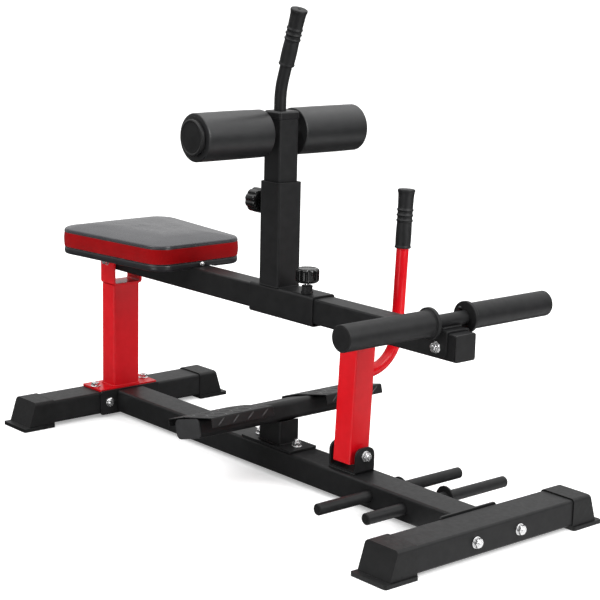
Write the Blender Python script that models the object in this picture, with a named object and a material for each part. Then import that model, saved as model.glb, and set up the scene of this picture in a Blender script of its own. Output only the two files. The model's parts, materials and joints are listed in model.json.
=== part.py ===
"""A plate-loaded seated calf machine: base frame, seat lever, thigh pad carriage and lever support.

Metres, +Z up. X runs from the seat end to the weight end, the floor is z = 0, and the origin is at
the middle of the base's footprint.
"""

import math

import bmesh
import bpy
from mathutils import Matrix, Vector

# ---------------------------------------------------------------- driving dimensions
GAP = 0.0003
CORNER_STEPS = 3
ROUND_STEPS = 20
FASTENER_STEPS = 12
HOLE_STEPS = 12
HANDLE_STEPS = 12
KNOB_STEPS = 20
KNOB_LOBES = 10
SHARP_ANGLE = math.radians(32)

BEAM_BOTTOM = 0.008
BEAM_TOP = 0.058
TUBE_WALL = 0.0026
TUBE_CORNER = 0.0055
CROSSBAR_X = 0.5668
CROSSBAR_HALF_X = 0.038
CROSSBAR_HALF_Y = 0.245
BEAM_HALF_Y = 0.0355
PLATE = 0.005
END_PLATE_Y = {"rear": (-0.079, 0.079), "front": (-0.068, 0.0755)}
END_PLATE_HALF_Z = 0.02725
CROSSBAR_BOLT_Y = 0.0555
CROSSBAR_BOLT_Z = 0.034

BOLT_RADIUS = 0.005
PIVOT_RADIUS = 0.006
HOLE_PLAY = 0.0003

CAP_INNER_Y = 0.199
CAP_TOP_OUTER_Y = 0.2455
CAP_FOOT_OUTER_Y = 0.2622
CAP_LIP_OUTER_Y = 0.2766
CAP_HALF_X = 0.0403
CAP_LIP_HALF_X = 0.044
CAP_TOP = 0.0605
CAP_LIP_HEIGHT = 0.0075

UPRIGHT_X = -0.5627
UPRIGHT_HALF_X = 0.0245
UPRIGHT_HALF_Y = 0.0345
UPRIGHT_TOP = 0.2948
UPRIGHT_FLANGE = (-0.6035, -0.5295)
UPRIGHT_FLANGE_HALF_Y = 0.0765
UPRIGHT_BOLT = (-0.567, 0.0655)

PIVOT_X = -0.562
PIVOT_Z = 0.351
BRACKET_X = (-0.5855, -0.5335)
BRACKET_HALF_Y = 0.038
BRACKET_BASE = 0.2951
BRACKET_TOP = 0.3668

LEVER_X = (-0.581, 0.5042)
LEVER_HALF_Y = 0.025
LEVER_BOTTOM = 0.3285
LEVER_TOP = 0.3785
LEVER_WALL = 0.003

SEAT_REAR_X = -0.600
SEAT_FRONT_X = -0.262
SEAT_REAR_HALF_Y = 0.157
SEAT_FRONT_HALF_Y = 0.112
SEAT_REAR_RADIUS = 0.047
SEAT_FRONT_RADIUS = 0.042
SEAT_BOARD_TOP = 0.3892
SEAT_SIDE_TOP = 0.4265
SEAT_CROWN = 0.0125
SEAT_SCREW_Z = 0.3839

SADDLE_X = (0.414, 0.4873)
SADDLE_THICKNESS = 0.0037
SADDLE_BOTTOM = 0.332
SADDLE_BOLT = (0.4635, 0.3505)
HORN_X = 0.4605
HORN_Z = 0.3955
HORN_RADIUS = 0.0125
SLEEVE_RADIUS = 0.024
SLEEVE_FLANGE_RADIUS = 0.029
SLEEVE_Y = (0.043, 0.2545)
SLEEVE_FLANGE = 0.008

CARRIAGE_X = (-0.0661, 0.1264)
CARRIAGE_HALF_Y = 0.0293
CARRIAGE_Z = (0.3228, 0.3826)
CARRIAGE_INNER_HALF_Y = 0.0256
CARRIAGE_INNER_Z = (0.3260, 0.3790)
PAD_SLEEVE_X = -0.0078
PAD_SLEEVE_HALF = 0.030
PAD_SLEEVE_Z = (0.3829, 0.5895)
PAD_SLEEVE_WALL = 0.0035
PAD_POST_X = -0.0097
PAD_POST_HALF = 0.0243
PAD_POST_Z = (0.430, 0.7127)
POST_CAP_TOP = 0.7275

TOP_PIN = (0.0955, -0.0155)
SIDE_PIN_Z = 0.543
PIN_RADIUS = 0.004
PIN_HOLE_RADIUS = 0.0048
PIN_HOLE_PITCH = 0.045
PAD_HOLE_PITCH = 0.040

AXLE_X = -0.0210
AXLE_Y = -0.003
AXLE_Z = 0.684
AXLE_RADIUS = 0.0095
AXLE_HALF_Y = 0.185
ROLLER_RADIUS = 0.0467
ROLLER_Y = (0.040, 0.200)
ROLLER_BORE = 0.0112
ROLLER_PLUG_RADIUS = 0.0355
ROLLER_PLUG_Y = 0.209

HANDLE_RADIUS = 0.012
HANDLE_WALL = 0.002
PAD_HANDLE_X = -0.0148
PAD_HANDLE_BEND_Z = 0.7665
PAD_HANDLE_LEAN = math.radians(18.2)
PAD_GRIP_START = 0.052
GRIP_LENGTH = 0.1137
GRIP_RADIUS = 0.0152

SUPPORT_X = 0.2174
SUPPORT_PIVOT_Z = 0.0925
SUPPORT_HALF = 0.0248
SUPPORT_Z = (0.0745, 0.326)
SUPPORT_LEAN = math.radians(2.7)
SUPPORT_HANDLE_Z = 0.2465
SUPPORT_HANDLE_BEND = 0.075
SUPPORT_HANDLE_Y = 0.101
SUPPORT_GRIP_Z = 0.483
CLEVIS_X = (0.1805, 0.2585)
CLEVIS_THICKNESS = 0.0055
CLEVIS_HALF_Y = 0.0235
CLEVIS_TOP = 0.109

FOOT_POST_X = 0.0005
FOOT_POST_HALF_X = 0.0345
FOOT_POST_HALF_Y = 0.0248
FOOT_BASE_HALF_X = 0.079
FOOT_BASE_HALF_Y = 0.0352
FOOT_BOLT_X = 0.0565
FOOT_TUBE_X = -0.012
FOOT_TUBE_Z = 0.1204
FOOT_TUBE_HALF = (0.0393, 0.0198)
FOOT_TUBE_HALF_Y = 0.2179
FOOT_TUBE_RADIUS = 0.0105
FOOT_CAP_HALF_Y = 0.2209
FOOT_TILT = math.radians(14.9)
FOOT_PLATE_Y = (0.0692, 0.2212)
FOOT_PLATE_THICKNESS = 0.0022
FOOT_PLATE_REAR = (-0.0594, 0.0222)
FOOT_PLATE_BEND = (-0.0053, 0.0243)
FOOT_PLATE_FRONT = (0.0825, 0.0190)
FOOT_PLATE_LIPS = (0.0145, 0.0185)

ROD_RADIUS = 0.0112
ROD_Z = 0.033
ROD_COLLAR_RADIUS = 0.0225
ROD_COLLAR_HALF = 0.002
RODS = {
    "storage_rod_rear": (0.307, -0.163, 0.208, 0.0462),
    "storage_rod_front": (0.399, -0.128, 0.238, 0.076),
}

BLACK_PAINT = ((0.023, 0.024, 0.025), 0.42, 0.0)
RED_PAINT = ((0.58, 0.006, 0.010), 0.25, 0.0)
RUBBER = ((0.030, 0.031, 0.033), 0.75, 0.0)
FOAM = ((0.045, 0.046, 0.048), 0.85, 0.0)
PLASTIC = ((0.025, 0.026, 0.028), 0.45, 0.0)
ZINC = ((0.72, 0.72, 0.73), 0.28, 1.0)
VINYL = ((0.050, 0.050, 0.054), 0.5, 0.0)
BOARD = ((0.020, 0.020, 0.021), 0.8, 0.0)


# ---------------------------------------------------------------- scene and materials
def remove_scene_objects():
    for obj in list(bpy.data.objects):
        bpy.data.objects.remove(obj, do_unlink=True)


def finish_material(name, finish):
    colour, roughness, metallic = finish
    material = bpy.data.materials.new(name + "_finish")
    material.use_nodes = True
    shader = material.node_tree.nodes["Principled BSDF"]
    shader.inputs["Base Color"].default_value = (*colour, 1.0)
    shader.inputs["Roughness"].default_value = roughness
    shader.inputs["Metallic"].default_value = metallic
    return material


def joint_empty(name, location, parent=None):
    """An empty on a joint's axis, with its children's places still given in the part's frame."""
    empty = bpy.data.objects.new(name, None)
    empty.location = location
    bpy.context.scene.collection.objects.link(empty)
    attach(empty, parent)
    return empty


def world_place(obj):
    """Where an empty stands before any lean is given to it."""
    return Vector(obj["stands_at"])


def attach(obj, parent):
    obj["stands_at"] = tuple(obj.location)
    if parent is not None:
        obj.parent = parent
        obj.matrix_parent_inverse = Matrix.Translation(-world_place(parent))


# ---------------------------------------------------------------- outlines and paths
def fillet(before, corner, after, radius, steps=CORNER_STEPS):
    """Points of the arc that rounds a corner between two neighbouring points."""
    to_before = (before - corner).normalized()
    to_after = (after - corner).normalized()
    half_angle = to_before.angle(to_after) / 2
    centre = corner + (to_before + to_after).normalized() * radius / math.sin(half_angle)
    start = (corner + to_before * radius / math.tan(half_angle) - centre).normalized()
    end = (corner + to_after * radius / math.tan(half_angle) - centre).normalized()
    return [centre + start.slerp(end, i / steps).normalized() * radius for i in range(steps + 1)]


def rounded_outline(corners, radii, steps=CORNER_STEPS):
    """A closed outline with each corner rounded by its own radius."""
    points = []
    count = len(corners)
    for i, radius in enumerate(radii):
        points += fillet(corners[i - 1], corners[i], corners[(i + 1) % count], radius, steps)
    return points


def rounded_path(points, radius, steps=CORNER_STEPS):
    """An open path with its inner corners rounded."""
    path = [points[0]]
    for before, corner, after in zip(points, points[1:], points[2:]):
        path += fillet(before, corner, after, radius, steps)
    return path + [points[-1]]


def rectangle(half_u, half_v, radius, centre=(0, 0), steps=CORNER_STEPS):
    signs = ((-1, -1), (1, -1), (1, 1), (-1, 1))
    corners = [Vector((centre[0] + half_u * u, centre[1] + half_v * v)) for u, v in signs]
    return rounded_outline(corners, [radius] * 4, steps)


def circle(radius, steps=ROUND_STEPS):
    turns = [2 * math.pi * i / steps for i in range(steps)]
    return [Vector((radius * math.cos(turn), radius * math.sin(turn))) for turn in turns]


def disc(radius):
    return circle(radius, FASTENER_STEPS)


def hexagon(across_flats, steps=FASTENER_STEPS):
    """A hexagon with as many points as a disc, so that the two can be joined."""
    points = []
    for i in range(steps):
        turn = 2 * math.pi * i / steps
        off_flat = turn % (math.pi / 3) - math.pi / 6
        radius = across_flats / 2 / math.cos(off_flat)
        points.append(Vector((radius * math.cos(turn), radius * math.sin(turn))))
    return points


def lobed(radius, depth):
    """A round knob's outline with shallow finger flutes."""
    points = []
    for i in range(KNOB_STEPS):
        turn = 2 * math.pi * i / KNOB_STEPS
        reach = radius - depth * (0.5 - 0.5 * math.cos(KNOB_LOBES * turn))
        points.append(Vector((reach * math.cos(turn), reach * math.sin(turn))))
    return points


def strip(path, thickness):
    """The closed outline of bent sheet metal whose middle follows an open path."""
    left = []
    right = []
    for i, point in enumerate(path):
        before = point - path[i - 1] if i else path[1] - point
        after = path[i + 1] - point if i + 1 < len(path) else before
        along = (before.normalized() + after.normalized()).normalized()
        across = Vector((-along.y, along.x))
        reach = thickness / 2 / along.dot(before.normalized())
        left.append(point + across * reach)
        right.append(point - across * reach)
    return left + right[::-1]


# ---------------------------------------------------------------- solids
def spot(axis, across, along):
    """The point at across = (u, v) over an axis and along it."""
    u, v = across
    if axis == "X":
        return Vector((along, u, v))
    if axis == "Y":
        return Vector((u, along, v))
    return Vector((u, v, along))


def loop(axis, outline, along, centre=(0, 0)):
    return [spot(axis, (point[0] + centre[0], point[1] + centre[1]), along) for point in outline]


def loft(name, loops, finish, parent=None, ring=False):
    """A solid skinned over loops of equal length: closed on itself as a ring, or with its ends capped."""
    low = Vector([min(point[i] for points in loops for point in points) for i in range(3)])
    high = Vector([max(point[i] for points in loops for point in points) for i in range(3)])
    origin = (low + high) / 2
    mesh_data = bmesh.new()
    rows = [[mesh_data.verts.new(point - origin) for point in points] for points in loops]
    pairs = list(zip(rows, rows[1:]))
    if ring:
        pairs.append((rows[-1], rows[0]))
    else:
        mesh_data.faces.new(rows[0])
        mesh_data.faces.new(rows[-1])
    for one, two in pairs:
        for i in range(len(one)):
            mesh_data.faces.new((one[i - 1], one[i], two[i], two[i - 1]))
    bmesh.ops.recalc_face_normals(mesh_data, faces=mesh_data.faces)
    mesh = bpy.data.meshes.new(name)
    mesh_data.to_mesh(mesh)
    mesh_data.free()
    mesh.shade_smooth()
    mesh.set_sharp_from_angle(angle=SHARP_ANGLE)
    obj = bpy.data.objects.new(name, mesh)
    obj.location = origin
    bpy.context.scene.collection.objects.link(obj)
    attach(obj, parent)
    if finish is not None:
        mesh.materials.append(finish_material(name, finish))
    return obj


def prism(name, axis, outline, span, finish, parent=None):
    return loft(name, [loop(axis, outline, along) for along in span], finish, parent)


def tube(name, axis, outer, inner, span, finish, parent=None):
    """A hollow tube, open at both ends."""
    start, end = span
    loops = [loop(axis, outer, start), loop(axis, outer, end)]
    loops += [loop(axis, inner, end), loop(axis, inner, start)]
    return loft(name, loops, finish, parent, ring=True)


def box_tube(name, axis, half, wall, span, finish, parent=None, centre=(0, 0), radius=TUBE_CORNER):
    outer = rectangle(half[0], half[1], radius, centre)
    inner = rectangle(half[0] - wall, half[1] - wall, radius - wall * 0.8, centre)
    return tube(name, axis, outer, inner, span, finish, parent)


def turned(name, axis, profile, centre, finish, parent=None, ring=False, steps=ROUND_STEPS):
    """A solid of revolution from (radius, along) pairs."""
    loops = [loop(axis, circle(radius, steps), along, centre) for radius, along in profile]
    return loft(name, loops, finish, parent, ring)


def stacked(name, axis, sections, centre, finish, parent=None):
    """A solid through (outline, along) pairs."""
    return loft(name, [loop(axis, outline, along, centre) for outline, along in sections], finish, parent)


def swept_tube(name, path, side, finish, parent=None):
    """A round handle tube along a flat bend, with side the direction square to that bend."""
    outer = []
    inner = []
    for i, point in enumerate(path):
        before = (point - path[i - 1]).normalized() if i else (path[1] - point).normalized()
        after = (path[i + 1] - point).normalized() if i + 1 < len(path) else before
        up = (before + after).normalized().cross(side)
        for rows, radius in ((outer, HANDLE_RADIUS), (inner, HANDLE_RADIUS - HANDLE_WALL)):
            rows.append([point + side * across.x + up * across.y for across in circle(radius, HANDLE_STEPS)])
    return loft(name, outer + inner[::-1], finish, parent, ring=True)


def cut(target, cutter, operation="DIFFERENCE"):
    modifier = target.modifiers.new(cutter.name, "BOOLEAN")
    modifier.operation = operation
    modifier.object = cutter
    cutter.hide_render = True
    cutter.display_type = "WIRE"


def drill(target, axis, centre, span, radius, parent=None):
    name = f"cut_{target.name}_{len(target.modifiers)}"
    profile = [(radius, span[0]), (radius, span[1])]
    cut(target, turned(name, axis, profile, centre, None, parent, steps=HOLE_STEPS))


# ---------------------------------------------------------------- fasteners
def nut_sections(seat, end, way):
    """A washer, a nut and the thread's end, from the seat outwards."""
    nut = seat + way * 0.0017
    return [
        (disc(BOLT_RADIUS), seat),
        (disc(0.0108), seat),
        (disc(0.0108), nut),
        (hexagon(0.0160), nut),
        (hexagon(0.0160), nut + way * 0.0072),
        (disc(BOLT_RADIUS - 0.0004), nut + way * 0.0076),
        (disc(BOLT_RADIUS - 0.0004), end),
    ]


def carriage_bolt(name, axis, centre, head, seat, end):
    """A domed bolt from head to seat, with its washer, nut and thread end beyond the seat."""
    way = 1 if seat > head else -1
    sections = [
        (disc(0.0060), head - way * 0.0052),
        (disc(0.0092), head - way * 0.0036),
        (disc(0.0104), head),
        (disc(BOLT_RADIUS), head),
    ]
    stacked(name, axis, sections + nut_sections(seat, end, way), centre, ZINC)


def stud(name, axis, centre, start, seat, end):
    """A headless stud with its washer and nut."""
    sections = [(disc(BOLT_RADIUS), start)]
    stacked(name, axis, sections + nut_sections(seat, end, 1), centre, ZINC)


def pivot_bolt(name, axis, centre, head, seat, radius, parent=None):
    """A hexagon-headed bolt with washers under its head and nut."""
    way = 1 if seat > head else -1
    sections = [
        (disc(radius * 1.20), head - way * 0.0085),
        (hexagon(radius * 3.2), head - way * 0.0075),
        (hexagon(radius * 3.2), head - way * 0.0015),
        (disc(radius * 2.1), head - way * 0.0015),
        (disc(radius * 2.1), head),
        (disc(radius), head),
        (disc(radius), seat),
        (disc(radius * 2.1), seat),
        (disc(radius * 2.1), seat + way * 0.0015),
        (hexagon(radius * 3.2), seat + way * 0.0015),
        (hexagon(radius * 3.2), seat + way * 0.0080),
        (disc(radius * 1.25), seat + way * 0.0100),
    ]
    return stacked(name, axis, sections, centre, ZINC, parent)


# ---------------------------------------------------------------- base frame
def make_main_beam():
    middle_z = (BEAM_BOTTOM + BEAM_TOP) / 2
    half = (BEAM_HALF_Y, (BEAM_TOP - BEAM_BOTTOM) / 2)
    reach = CROSSBAR_X - CROSSBAR_HALF_X - PLATE - 2 * GAP
    beam = box_tube("main_beam", "X", half, TUBE_WALL, (-reach, reach), BLACK_PAINT, centre=(0, middle_z))
    for x, *_ in RODS.values():
        drill(beam, "Y", (x, ROD_Z), (-0.05, 0.05), ROD_RADIUS + 0.0006)
    for x in (-FOOT_BOLT_X, FOOT_BOLT_X):
        drill(beam, "Z", (x, 0), (0, 0.07), BOLT_RADIUS + HOLE_PLAY)


def make_crossbar(end, sign):
    middle_z = (BEAM_BOTTOM + BEAM_TOP) / 2
    half = (CROSSBAR_HALF_X, (BEAM_TOP - BEAM_BOTTOM) / 2)
    span = (-CROSSBAR_HALF_Y + 0.003, CROSSBAR_HALF_Y - 0.003)
    centre = (sign * CROSSBAR_X, middle_z)
    bar = box_tube(f"crossbar_{end}", "Y", half, TUBE_WALL, span, BLACK_PAINT, centre=centre)
    for y in (-CROSSBAR_BOLT_Y, CROSSBAR_BOLT_Y):
        drill(bar, "X", (y, CROSSBAR_BOLT_Z), (sign * 0.51, sign * 0.62), BOLT_RADIUS + HOLE_PLAY)
    return bar


def make_end_plate(end, sign):
    near = CROSSBAR_X - CROSSBAR_HALF_X - PLATE
    right, left = END_PLATE_Y[end]
    outline = rectangle((left - right) / 2, END_PLATE_HALF_Z, 0.006, ((left + right) / 2, 0.03325))
    span = (sign * near, sign * (near + PLATE - GAP))
    plate = prism(f"end_plate_{end}", "X", outline, span, BLACK_PAINT)
    for side, y in (("left", CROSSBAR_BOLT_Y), ("right", -CROSSBAR_BOLT_Y)):
        centre = (y, CROSSBAR_BOLT_Z)
        drill(plate, "X", centre, (sign * 0.51, sign * 0.55), BOLT_RADIUS + HOLE_PLAY)
        outer_face = CROSSBAR_X + CROSSBAR_HALF_X + GAP
        name = f"crossbar_bolt_{end}_{side}"
        head, tip = sign * (near - GAP), sign * (outer_face + 0.0125)
        carriage_bolt(name, "X", centre, head, sign * outer_face, tip)


def cap_outline(x):
    """The outline of a foot cap's body in X and Z."""
    low = (x - CAP_HALF_X, CAP_LIP_HEIGHT - 0.001)
    high = (x + CAP_HALF_X, CAP_TOP)
    corners = [low, (high[0], low[1]), high, (low[0], high[1])]
    return rounded_outline([Vector(corner) for corner in corners], [0.0008, 0.0008, 0.007, 0.007])


def make_foot_cap(end, sign, side, way):
    """A rubber cap pushed over a crossbar's end, with a sloping outer face and a lip on the floor."""
    x = sign * CROSSBAR_X
    body_outline = cap_outline(x)
    inner = loop("Y", body_outline, way * CAP_INNER_Y)
    outer = []
    for point in body_outline:
        height = (point.y - CAP_LIP_HEIGHT) / (CAP_TOP - CAP_LIP_HEIGHT)
        along = CAP_FOOT_OUTER_Y + (CAP_TOP_OUTER_Y - CAP_FOOT_OUTER_Y) * height
        outer.append(spot("Y", point, way * along))
    cap = loft(f"foot_cap_{end}_{side}", [inner, outer], RUBBER)
    lip_outline = rectangle(
        CAP_LIP_HALF_X,
        (CAP_LIP_OUTER_Y - CAP_INNER_Y) / 2,
        0.004,
        (x, way * (CAP_LIP_OUTER_Y + CAP_INNER_Y) / 2),
    )
    lip = prism(f"lip_{end}_{side}", "Z", lip_outline, (0, CAP_LIP_HEIGHT), None)
    cut(cap, lip, "UNION")
    middle_z = (BEAM_BOTTOM + BEAM_TOP) / 2
    hole = rectangle(CROSSBAR_HALF_X + GAP, (BEAM_TOP - BEAM_BOTTOM) / 2 + GAP, TUBE_CORNER, (x, middle_z))
    depth = (way * 0.18, way * (CROSSBAR_HALF_Y - 0.003 + GAP))
    pocket = prism(f"pocket_{end}_{side}", "Y", hole, depth, None)
    cut(cap, pocket)


def make_rear_upright():
    """The seat end's upright, welded to its bolted foot plate."""
    upright = box_tube(
        "rear_upright",
        "Z",
        (UPRIGHT_HALF_X, UPRIGHT_HALF_Y),
        TUBE_WALL,
        (BEAM_TOP + PLATE - 0.001, UPRIGHT_TOP),
        RED_PAINT,
        centre=(UPRIGHT_X, 0),
    )
    rear, front = UPRIGHT_FLANGE
    outline = rectangle((front - rear) / 2, UPRIGHT_FLANGE_HALF_Y, 0.004, ((front + rear) / 2, 0))
    flange = prism("upright_flange", "Z", outline, (BEAM_TOP + GAP, BEAM_TOP + PLATE), None)
    cut(upright, flange, "UNION")
    x, y = UPRIGHT_BOLT
    bar = bpy.data.objects["crossbar_rear"]
    for side, bolt_y in (("left", y), ("right", -y)):
        drill(upright, "Z", (x, bolt_y), (0.05, 0.07), BOLT_RADIUS + HOLE_PLAY)
        drill(bar, "Z", (x, bolt_y), (0.05, 0.07), BOLT_RADIUS + HOLE_PLAY)
        seat = BEAM_TOP + PLATE + GAP
        stud(f"upright_bolt_{side}", "Z", (x, bolt_y), CROSSBAR_BOLT_Z + 0.0070, seat, seat + 0.0118)


def channel(name, axis, path, thickness, bend, span, finish, parent=None):
    """Bent sheet metal extruded along an axis."""
    outline = strip(rounded_path([Vector(point) for point in path], bend), thickness)
    return prism(name, axis, outline, span, finish, parent)


def make_pivot_bracket():
    """The U bracket on the upright that carries the lever's pivot bolt."""
    middle = BRACKET_HALF_Y - PLATE / 2
    base = BRACKET_BASE + PLATE / 2
    path = [(-middle, BRACKET_TOP), (-middle, base), (middle, base), (middle, BRACKET_TOP)]
    bracket = channel("pivot_bracket", "X", path, PLATE, 0.0055, BRACKET_X, RED_PAINT)
    rear, front = BRACKET_X
    corners = [(rear, 0.29), (front, 0.29), (front, BRACKET_TOP), (rear, BRACKET_TOP)]
    ears = rounded_outline([Vector(corner) for corner in corners], [0.001, 0.001, 0.012, 0.012])
    cut(bracket, prism("bracket_ears", "Y", ears, (-0.05, 0.05), None), "INTERSECT")
    drill(bracket, "Y", (PIVOT_X, PIVOT_Z), (-0.05, 0.05), PIVOT_RADIUS + HOLE_PLAY)
    face = BRACKET_HALF_Y + GAP
    pivot_bolt("lever_pivot_bolt", "Y", (PIVOT_X, PIVOT_Z), face, -face, PIVOT_RADIUS)


def make_support_clevis():
    """The clevis on the main beam that the lever support swings in."""
    rear, front = CLEVIS_X
    half = CLEVIS_THICKNESS / 2
    base = BEAM_TOP + GAP + half
    path = [(rear + half, CLEVIS_TOP), (rear + half, base), (front - half, base), (front - half, CLEVIS_TOP)]
    span = (-CLEVIS_HALF_Y, CLEVIS_HALF_Y)
    clevis = channel("support_clevis", "Y", path, CLEVIS_THICKNESS, 0.0045, span, BLACK_PAINT)
    corners = [
        (-CLEVIS_HALF_Y, 0.05),
        (CLEVIS_HALF_Y, 0.05),
        (CLEVIS_HALF_Y, CLEVIS_TOP),
        (-CLEVIS_HALF_Y, CLEVIS_TOP),
    ]
    ears = rounded_outline([Vector(corner) for corner in corners], [0.001, 0.001, 0.016, 0.016], 5)
    cut(clevis, prism("clevis_ears", "X", ears, (0.16, 0.28), None), "INTERSECT")
    drill(clevis, "X", (0, SUPPORT_PIVOT_Z), (0.16, 0.28), BOLT_RADIUS + HOLE_PLAY)
    pivot_bolt("support_pivot_bolt", "X", (0, SUPPORT_PIVOT_Z), rear - GAP, front + GAP, BOLT_RADIUS)


# ---------------------------------------------------------------- foot rest
def on_foot(s, n):
    """The X and Z of a point s along the tilted foot tube's width and n above its middle."""
    x = FOOT_TUBE_X + s * math.cos(FOOT_TILT) - n * math.sin(FOOT_TILT)
    z = FOOT_TUBE_Z + s * math.sin(FOOT_TILT) + n * math.cos(FOOT_TILT)
    return Vector((x, z))


def make_foot_post():
    """The short post under the foot rest, cut to the tube's slope and welded to its base plate."""
    loops = []
    for inset in (0, TUBE_WALL):
        half = (FOOT_POST_HALF_X - inset, FOOT_POST_HALF_Y - inset)
        outline = rectangle(half[0], half[1], TUBE_CORNER - inset * 0.8, (FOOT_POST_X, 0))
        top = []
        for point in outline:
            drop = (FOOT_TUBE_HALF[1] + GAP) / math.cos(FOOT_TILT)
            height = FOOT_TUBE_Z - drop + (point.x - FOOT_TUBE_X) * math.tan(FOOT_TILT)
            top.append(spot("Z", point, height))
        pair = [loop("Z", outline, BEAM_TOP + PLATE - 0.001), top]
        loops += pair[::-1] if inset else pair
    post = loft("foot_post", loops, BLACK_PAINT, ring=True)
    outline = rectangle(FOOT_BASE_HALF_X, FOOT_BASE_HALF_Y, 0.005)
    plate = prism("foot_post_plate", "Z", outline, (BEAM_TOP + GAP, BEAM_TOP + PLATE), None)
    cut(post, plate, "UNION")
    for end, x in (("rear", -FOOT_BOLT_X), ("front", FOOT_BOLT_X)):
        drill(post, "Z", (x, 0), (0.05, 0.07), BOLT_RADIUS + HOLE_PLAY)
        seat = BEAM_TOP + PLATE + GAP
        carriage_bolt(f"foot_bolt_{end}", "Z", (x, 0), BEAM_BOTTOM - GAP, seat, seat + 0.0150)


def tilted_outline(half, radius, steps=CORNER_STEPS):
    return [on_foot(point.x, point.y) for point in rectangle(half[0], half[1], radius, steps=steps)]


def make_foot_tube():
    outer = tilted_outline(FOOT_TUBE_HALF, FOOT_TUBE_RADIUS, 4)
    inset = [half - TUBE_WALL for half in FOOT_TUBE_HALF]
    inner = tilted_outline(inset, FOOT_TUBE_RADIUS - TUBE_WALL, 4)
    tube("foot_tube", "Y", outer, inner, (-FOOT_TUBE_HALF_Y, FOOT_TUBE_HALF_Y), BLACK_PAINT)
    plug = tilted_outline([half - 0.0004 for half in inset], FOOT_TUBE_RADIUS - TUBE_WALL, 4)
    rim = tilted_outline([half - 0.0012 for half in FOOT_TUBE_HALF], FOOT_TUBE_RADIUS, 4)
    for side, way in (("left", 1), ("right", -1)):
        sections = [
            (plug, FOOT_TUBE_HALF_Y - 0.012),
            (plug, FOOT_TUBE_HALF_Y + GAP),
            (outer, FOOT_TUBE_HALF_Y + GAP),
            (outer, FOOT_CAP_HALF_Y - 0.001),
            (rim, FOOT_CAP_HALF_Y),
        ]
        loops = [loop("Y", outline, way * along) for outline, along in sections]
        loft(f"foot_tube_cap_{side}", loops, PLASTIC)


def make_foot_plate(side, way):
    """A tread plate folded down at both edges and bent a little over the foot tube."""
    rear, bend, front = (Vector(point) for point in (FOOT_PLATE_REAR, FOOT_PLATE_BEND, FOOT_PLATE_FRONT))
    rear_lip, front_lip = (Vector((0, -length)) for length in FOOT_PLATE_LIPS)
    middle = Vector((0, -FOOT_PLATE_THICKNESS / 2))
    path = [point + middle for point in (rear + rear_lip, rear, bend, front, front + front_lip)]
    outline = strip(rounded_path(path, 0.0025), FOOT_PLATE_THICKNESS)
    outline = [on_foot(point.x, point.y) for point in outline]
    prism(f"foot_plate_{side}", "Y", outline, [way * y for y in FOOT_PLATE_Y], BLACK_PAINT)


# ---------------------------------------------------------------- lever
def make_lever(pivot):
    middle = (LEVER_BOTTOM + LEVER_TOP) / 2
    half = (LEVER_HALF_Y, LEVER_HALF_Y)
    lever = box_tube("lever", "X", half, LEVER_WALL, LEVER_X, BLACK_PAINT, pivot, (0, middle), 0.004)
    drill(lever, "Y", (PIVOT_X, PIVOT_Z), (-0.05, 0.05), PIVOT_RADIUS + HOLE_PLAY, pivot)
    drill(lever, "Y", SADDLE_BOLT, (-0.05, 0.05), BOLT_RADIUS + HOLE_PLAY, pivot)
    for i in range(4):
        centre = (TOP_PIN[0] - i * PIN_HOLE_PITCH, TOP_PIN[1])
        drill(lever, "Z", centre, (0.37, 0.39), PIN_HOLE_RADIUS, pivot)
    plug = rectangle(LEVER_HALF_Y - LEVER_WALL - GAP, LEVER_HALF_Y - LEVER_WALL - GAP, 0.0012)
    flange = rectangle(LEVER_HALF_Y, LEVER_HALF_Y, 0.004)
    rim = rectangle(LEVER_HALF_Y - 0.0012, LEVER_HALF_Y - 0.0012, 0.0035)
    end = LEVER_X[1]
    sections = [
        (plug, end - 0.012),
        (plug, end + GAP),
        (flange, end + GAP),
        (flange, end + 0.003),
        (rim, end + 0.004),
    ]
    stacked("lever_end_cap", "X", sections, (0, middle), PLASTIC, pivot)


def seat_outline(inset):
    corners = [
        Vector((SEAT_REAR_X + inset, -SEAT_REAR_HALF_Y + inset)),
        Vector((SEAT_FRONT_X - inset, -SEAT_FRONT_HALF_Y + inset)),
        Vector((SEAT_FRONT_X - inset, SEAT_FRONT_HALF_Y - inset)),
        Vector((SEAT_REAR_X + inset, SEAT_REAR_HALF_Y - inset)),
    ]
    radii = [SEAT_REAR_RADIUS, SEAT_FRONT_RADIUS, SEAT_FRONT_RADIUS, SEAT_REAR_RADIUS]
    return rounded_outline(corners, [max(radius - inset, 0.004) for radius in radii], 6)


def make_seat(pivot):
    """The seat's board, bolted on the lever, and its crowned cushion."""
    board = seat_outline(0.0005)
    prism("seat_board", "Z", board, (LEVER_TOP + GAP, SEAT_BOARD_TOP - GAP), BOARD, pivot)
    middle = Vector(((SEAT_REAR_X + SEAT_FRONT_X) / 2, 0))
    loops = [loop("Z", seat_outline(0), SEAT_BOARD_TOP), loop("Z", seat_outline(0), SEAT_SIDE_TOP)]
    for share in (0.03, 0.10, 0.25, 0.5, 0.75):
        outline = [point.lerp(middle, share) for point in seat_outline(0)]
        loops.append(loop("Z", outline, SEAT_SIDE_TOP + SEAT_CROWN * math.sin(share * math.pi / 2) ** 0.5))
    loft("seat_cushion", loops, VINYL, pivot)
    dome = [(0.0020, 0.0050), (0.0038, 0.0040), (0.0048, 0.0018), (0.0048, GAP)]
    profile = [(radius, SEAT_FRONT_X + height) for radius, height in dome]
    turned("seat_front_screw", "X", profile, (0, SEAT_SCREW_Z), ZINC, pivot)


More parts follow.
